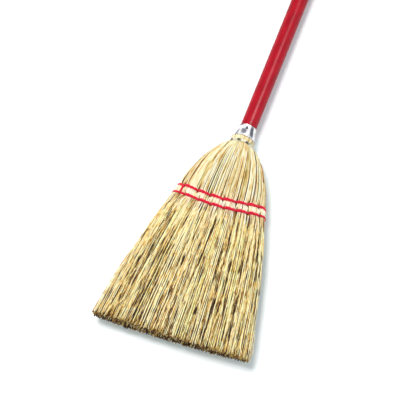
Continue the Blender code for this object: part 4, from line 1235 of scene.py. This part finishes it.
# Dark stretches of painted reflection: the first from the middle, and the step to the next, in radii
REFLECTION_DARK_FROM = -0.85
REFLECTION_DARK_STEP = 0.69

steel_wire, graph, shader = new_material("steel_wire", Metallic=0.3, Roughness=0.35)
_, wire_reflection = noisy_mark(graph, stretched_noise(graph, scale=300.0, squeeze=1.0), low=-0.3, high=0.3)
colour = ramp(graph, wire_reflection, ((0.40, (0.92, 0.90, 0.80)), (0.85, (0.10, 0.11, 0.08))))
paint(graph, shader, colour, stretched_noise(graph, scale=1500.0, squeeze=1.0), depth=0.0001)

wire_high = -(COLLAR_LENGTH + WIRE_UNDER_COLLAR + WIRE_DIAMETER / 2)
wire_low = wire_high - WIRE_PITCH * GROOVE_TURNS
stick_turn_radius = seat + WIRE_DIAMETER / 2
groove_turns = np.linspace(0.0, GROOVE_TURNS, GROOVE_TURNS * WIRE_STEPS)
rise = np.linspace(0.0, 1.0, WIRE_RISE_STEPS + 2)[1:-1]
stick_turns = np.linspace(0.0, HANDLE_TURNS, HANDLE_TURNS * WIRE_STEPS)
wire_turn = 2 * math.pi * np.concatenate([groove_turns, 0 * rise, stick_turns])
wire_radii = np.concatenate([
    WIRE_GROOVE_RADIUS - WIRE_TUCK * fading(groove_turns, WIRE_TUCK_TURN, power=1),
    WIRE_GROOVE_RADIUS + (stick_turn_radius - WIRE_GROOVE_RADIUS) * smooth_step(rise, 0.0, 1.0),
    0 * stick_turns + stick_turn_radius,
])
wire_ups = np.concatenate([
    wire_low + WIRE_PITCH * groove_turns, wire_high + (WIRE_START_HEIGHT - wire_high) * rise,
    WIRE_START_HEIGHT + WIRE_PITCH * stick_turns,
])
wire_path = lay(wire_radii * np.cos(wire_turn), wire_radii * np.sin(wire_turn), wire_ups)[None]
thickness = np.full(wire_path.shape[:2], WIRE_DIAMETER / 2)
# The way that rings are turned from: the wire never runs along it
up_wire = np.zeros(wire_path.shape) + (up_stick + 0.3 * out_of_face)
corners, faces = tubes(wire_path, up_wire, thickness, thickness, WIRE_SIDES)
# The mark is painted reflection, a wave across the front: one at each dark stretch's middle, nothing
# halfway to the next
wire_reflection = 0.5 + 0.5 * np.cos(2 * math.pi * (np.cos(wire_turn) - REFLECTION_DARK_FROM) / REFLECTION_DARK_STEP)
add_piece(
    "wound_wire", corners, faces, steel_wire, ["binding_wire"],
    marks=np.repeat(wire_reflection[:, None, None] * np.ones(3), WIRE_SIDES, axis=1),
)
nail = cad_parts["wire_nail"]
nail.data.materials.clear()
nail.data.materials.append(steel_wire)


# Stitching twine
# Red three-ply twine in one unbroken length. It goes once round the head, comes back along the row as
# slanted stitches over that wrap, each locked at the back through a needle slit, crosses to the next
# row and does it again. At each slit it is pressed in, and a dark tick is painted on it as shade.

TWINE_DIAMETER = 0.0026
# How much fuller the yarn is than the diameter that its route is spaced for
TWINE_FULLNESS = 1.20
SEAT_GAP = 0.0003
# Height of a stitch's ends over the row's middle, then its lift and its way over the wrap, in diameters
STITCH_REACH = 0.0006
STITCH_LIFT, STITCH_CLEAR = 0.8, 1.6
TWINE_PRESS = 0.0005
TWINE_PRESS_REACH = 0.0016
# Reach of the painted shade tick across a slit, and how far from the slit it ends
TICK_REACH, TICK_LENGTH = 0.0009, 0.0032
TWINE_TONE, TICK_SHADE = 0.95, 0.85
TWINE_DIVE = 0.0018
TWINE_TAIL = 0.009
ROW_SPACING = LOWER_ROW_DEPTH - UPPER_ROW_DEPTH
BAND_POINT_SPACING = 0.0080
EDGE_CROWDING_SHARE = 0.5
SLANT_CLIMB_SHARE = 0.8
LOCK_CLIMB_SHARE = 0.55
SIDE_STEP_SHARE = 0.6
EDGE_STEP_SHARE = 0.75
LINK_STEP_SHARE = 0.45
WRAP_MARGIN_SHARE = 0.01
TWINE_PLIES = 3
# Mean share of the radius round the plies, and how far they stand out from it
PLY_MEAN, PLY_DEPTH = 0.92, 0.16
TWINE_LAY_LENGTH = 0.0055
TWINE_SIDES = 12
TWINE_RING_SPACING = 0.0005
OVAL_POINTS = 400

twine_radius = TWINE_DIAMETER / 2
band_lift = twine_radius - SEAT_GAP
stitch_lift = band_lift + TWINE_DIAMETER * STITCH_LIFT


def row_line(depth, lift):
    """The front half of the line round the head at a row, evenly spaced and lifted, and its length.

    It is the head's squared oval, with the lift added to its half width and half thickness.
    """
    width, thickness, squareness = head_outline(depth)
    turn = np.linspace(0.0, math.pi, OVAL_POINTS)
    across, out, along = squared_oval(width + lift, thickness + lift, squareness, turn)
    places = np.linspace(0.0, along[-1], OVAL_POINTS)
    return np.interp(places, along, across), np.interp(places, along, out), along[-1]


def row_place(row, along, height, lift):
    """A point beside a row: share of the way round it, height above it, lift off the straw."""
    across, out, _ = row_line(row - height, lift)
    share = along % 1.0
    half_share = share if share <= 0.5 else 1.0 - share
    index = np.linspace(0.0, 0.5, OVAL_POINTS)
    x, face = np.interp(half_share, index, across), np.interp(half_share, index, out)
    settled, up = settle(x, row - height)
    return lay(settled, face if share <= 0.5 else -face, up)


def beside(row, x, height, face, lift):
    """A point at a place across a row, on one face of the head, lifted off the straw.

    Its share of the half thickness is one less the power of its share across, to one by the squareness.
    """
    width, thickness, squareness = head_outline(row - height)
    out = (1 - abs(x / (width + lift)) ** squareness) ** (1 / squareness)
    settled, up = settle(x, row - height)
    return lay(settled, face * (thickness + lift) * out, up)


def row_share(row, x):
    """The share of the way round a row, from the right edge over the face that shows, where x is met."""
    across = row_line(row, 0.0)[0]
    return np.interp(-x, -across, np.linspace(0.0, 0.5, OVAL_POINTS))


def band(row, shares, heights):
    """The wrap round a row through given shares of the way round and heights.

    Its points are closer at the two narrow edges, by a cosine of the way round.
    """
    dense = np.linspace(shares[0], shares[-1], OVAL_POINTS)
    spacing = BAND_POINT_SPACING * (1 - EDGE_CROWDING_SHARE * np.cos(4 * math.pi * dense))
    girth = 2 * row_line(row, band_lift)[2]
    steps = np.cumsum(girth * np.diff(dense, prepend=dense[0]) / spacing)
    places = np.interp(np.linspace(0.0, steps[-1], round(steps[-1]) + 1), steps, dense)
    return [row_place(row, place, np.interp(place, shares, heights), band_lift) for place in places]


def slanted_stitch(row, x_from, x_to, height_from):
    """One stitch over the wrap on the face that shows, from slit to slit."""
    way = math.copysign(1.0, x_to - x_from)
    clear = STITCH_CLEAR * TWINE_DIAMETER
    return [
        beside(row, x_from + way * twine_radius, height_from, 1, band_lift + SEAT_GAP),
        beside(row, x_from + way * clear, height_from * SLANT_CLIMB_SHARE, 1, stitch_lift),
        beside(row, (x_from + x_to) / 2, 0.0, 1, stitch_lift),
        beside(row, x_to - way * clear, -height_from * SLANT_CLIMB_SHARE, 1, stitch_lift),
        beside(row, x_to - way * twine_radius, -height_from, 1, band_lift + SEAT_GAP),
    ]


def lock_stitch(row, x, height_from, face):
    """One short stitch over the wrap, straight along the straw."""
    return [
        beside(row, x, height_from * share, face, lift)
        for share, lift in (
            (1.0, band_lift + 2 * SEAT_GAP), (LOCK_CLIMB_SHARE, stitch_lift),
            (-LOCK_CLIMB_SHARE, stitch_lift), (-1.0, band_lift + 2 * SEAT_GAP),
        )
    ]


def through(row, x, height, face_from):
    """One pass through the head in a slit."""
    return [beside(row, x, height, face_from, -TWINE_DIVE), beside(row, x, height, -face_from, -TWINE_DIVE)]


def twine_route():
    """The twine: upper wrap, upper row from right to left, link, lower wrap, lower row back."""
    upper, lower = UPPER_ROW_DEPTH, LOWER_ROW_DEPTH
    upper_x = [share * head_outline(upper)[0] for share in UPPER_STITCH_SHARES][::-1]
    lower_x = [share * head_outline(lower)[0] for share in LOWER_STITCH_SHARES[1:]]
    link_x = LOWER_STITCH_SHARES[0] * head_outline(lower)[0]
    side_step = STITCH_REACH * SIDE_STEP_SHARE
    near_edge = row_share(upper, upper_x[0]) * EDGE_STEP_SHARE

    points = band(
        upper, (-near_edge / 2, 0.0, near_edge, 1.0 - near_edge, 1.0, 1.0 + near_edge),
        (-side_step, -side_step, 0.0, 0.0, side_step, STITCH_REACH),
    )
    points.append(beside(upper, upper_x[0] + twine_radius, STITCH_REACH, 1, band_lift + SEAT_GAP))
    for i, x in enumerate(upper_x):
        points += through(upper, x, STITCH_REACH, 1)
        points += lock_stitch(upper, x, STITCH_REACH, -1)
        points += through(upper, x, -STITCH_REACH, -1)
        if i + 1 < len(upper_x):
            points += slanted_stitch(upper, x, upper_x[i + 1], -STITCH_REACH)

    points.append(beside(upper, upper_x[-1] - twine_radius, -STITCH_REACH, 1, band_lift))
    points.append(beside(upper, (upper_x[-1] + link_x) / 2, -ROW_SPACING / 2, 1, band_lift))
    points.append(beside(lower, link_x + twine_radius, side_step + TWINE_DIAMETER, 1, band_lift))
    points += through(lower, link_x, STITCH_REACH, 1)

    start, end = 1.0 - row_share(lower, link_x), 1.0 - row_share(lower, lower_x[0])
    points.append(beside(lower, link_x, STITCH_REACH, -1, band_lift))
    settled = start + (end - start) * LINK_STEP_SHARE
    before_link, before_end = 1.0 + start - WRAP_MARGIN_SHARE, 1.0 + end - 2 * WRAP_MARGIN_SHARE
    points += band(
        lower, (start, settled, 1.5, before_link, before_end),
        (side_step, 0.0, 0.0, -STITCH_REACH, -STITCH_REACH),
    )[1:]
    for i, x in enumerate(lower_x):
        if i:
            points += slanted_stitch(lower, lower_x[i - 1], x, STITCH_REACH)
            points += through(lower, x, -STITCH_REACH, 1)
        points += lock_stitch(lower, x, -STITCH_REACH, -1)
        if i + 1 < len(lower_x):
            points += through(lower, x, STITCH_REACH, -1)
    tail_share = 1.0 - row_share(lower, lower_x[-1])
    tail_reach = TWINE_TAIL / (2 * row_line(lower, band_lift)[2])
    points += [
        row_place(lower, tail_share + part * tail_reach, STITCH_REACH, band_lift) for part in (0.5, 1.0)
    ]
    return np.array(points)


def smooth_route(points, spacing):
    """A curve through the points: a cubic between each two with their neighbours' slopes, evenly spaced."""
    along = np.concatenate([[0.0], np.cumsum(np.linalg.norm(np.diff(points, axis=0), axis=1))])
    places = np.linspace(0.0, along[-1], int(along[-1] / spacing))
    return np.stack([smooth_table(along, points[:, axis], places) for axis in range(3)], axis=1)


red_twine, graph, shader = new_material(
    "red_twine", Roughness=0.75, Sheen_Weight=0.2, Specular_IOR_Level=0.25,
)
yarn = stretched_noise(graph, scale=2500.0, squeeze=1.0)
_, dye = noisy_mark(graph, yarn, low=-0.12, high=0.12)
colour = ramp(graph, dye, (
    (0.0, (0.03, 0.008, 0.006)), (0.55, (0.50, 0.003, 0.022)), (0.9, (0.81, 0.004, 0.044)),
))
paint(graph, shader, colour, yarn, depth=0.0003)

twine_path = smooth_route(twine_route(), TWINE_RING_SPACING)
rings = len(twine_path)
from_edge = twine_path - ferrule_edge
path_across, path_out, path_depth = from_edge @ across_head, from_edge @ out_of_face, -from_edge @ up_stick
pressed, ticked = np.zeros(rings), np.zeros(rings)
for row, stitches in ((UPPER_ROW_DEPTH, UPPER_STITCH_SHARES), (LOWER_ROW_DEPTH, LOWER_STITCH_SHARES)):
    for share in stitches:
        x, up = settle(np.array(share * head_outline(row)[0]), np.array(row))
        away = np.hypot(path_across - x, path_depth + up)
        pressed = np.maximum(pressed, fading(away, TWINE_PRESS_REACH))
        ticked = np.maximum(ticked, fading(path_across - x, TICK_REACH) * (away < TICK_LENGTH))
twine_path -= (TWINE_PRESS * pressed * np.sign(path_out))[:, None] * out_of_face
lay_turn = 2 * math.pi * np.arange(rings)[:, None] * TWINE_RING_SPACING / TWINE_LAY_LENGTH
turn = math.pi / 2 + 2 * math.pi * np.arange(TWINE_SIDES) / TWINE_SIDES
lobes = PLY_MEAN + PLY_DEPTH * np.cos(TWINE_PLIES * turn + lay_turn)
thickness = np.full((1, rings), twine_radius * TWINE_FULLNESS)
# The way that rings are turned from: the twine never runs along it
turned_from = np.zeros((1, rings, 3)) + (across_head + out_of_face + 1.3 * up_stick)
corners, faces = tubes(twine_path[None], turned_from, thickness, thickness, TWINE_SIDES)
middles = twine_path[None, :, None]
add_piece(
    "sewn_twine", middles + (corners - middles) * lobes[None, :, :, None], faces, red_twine,
    ["stitching_twine"],
    marks=np.repeat((TWINE_TONE - TICK_SHADE * ticked)[:, None, None] * np.ones(3), TWINE_SIDES, axis=1),
)
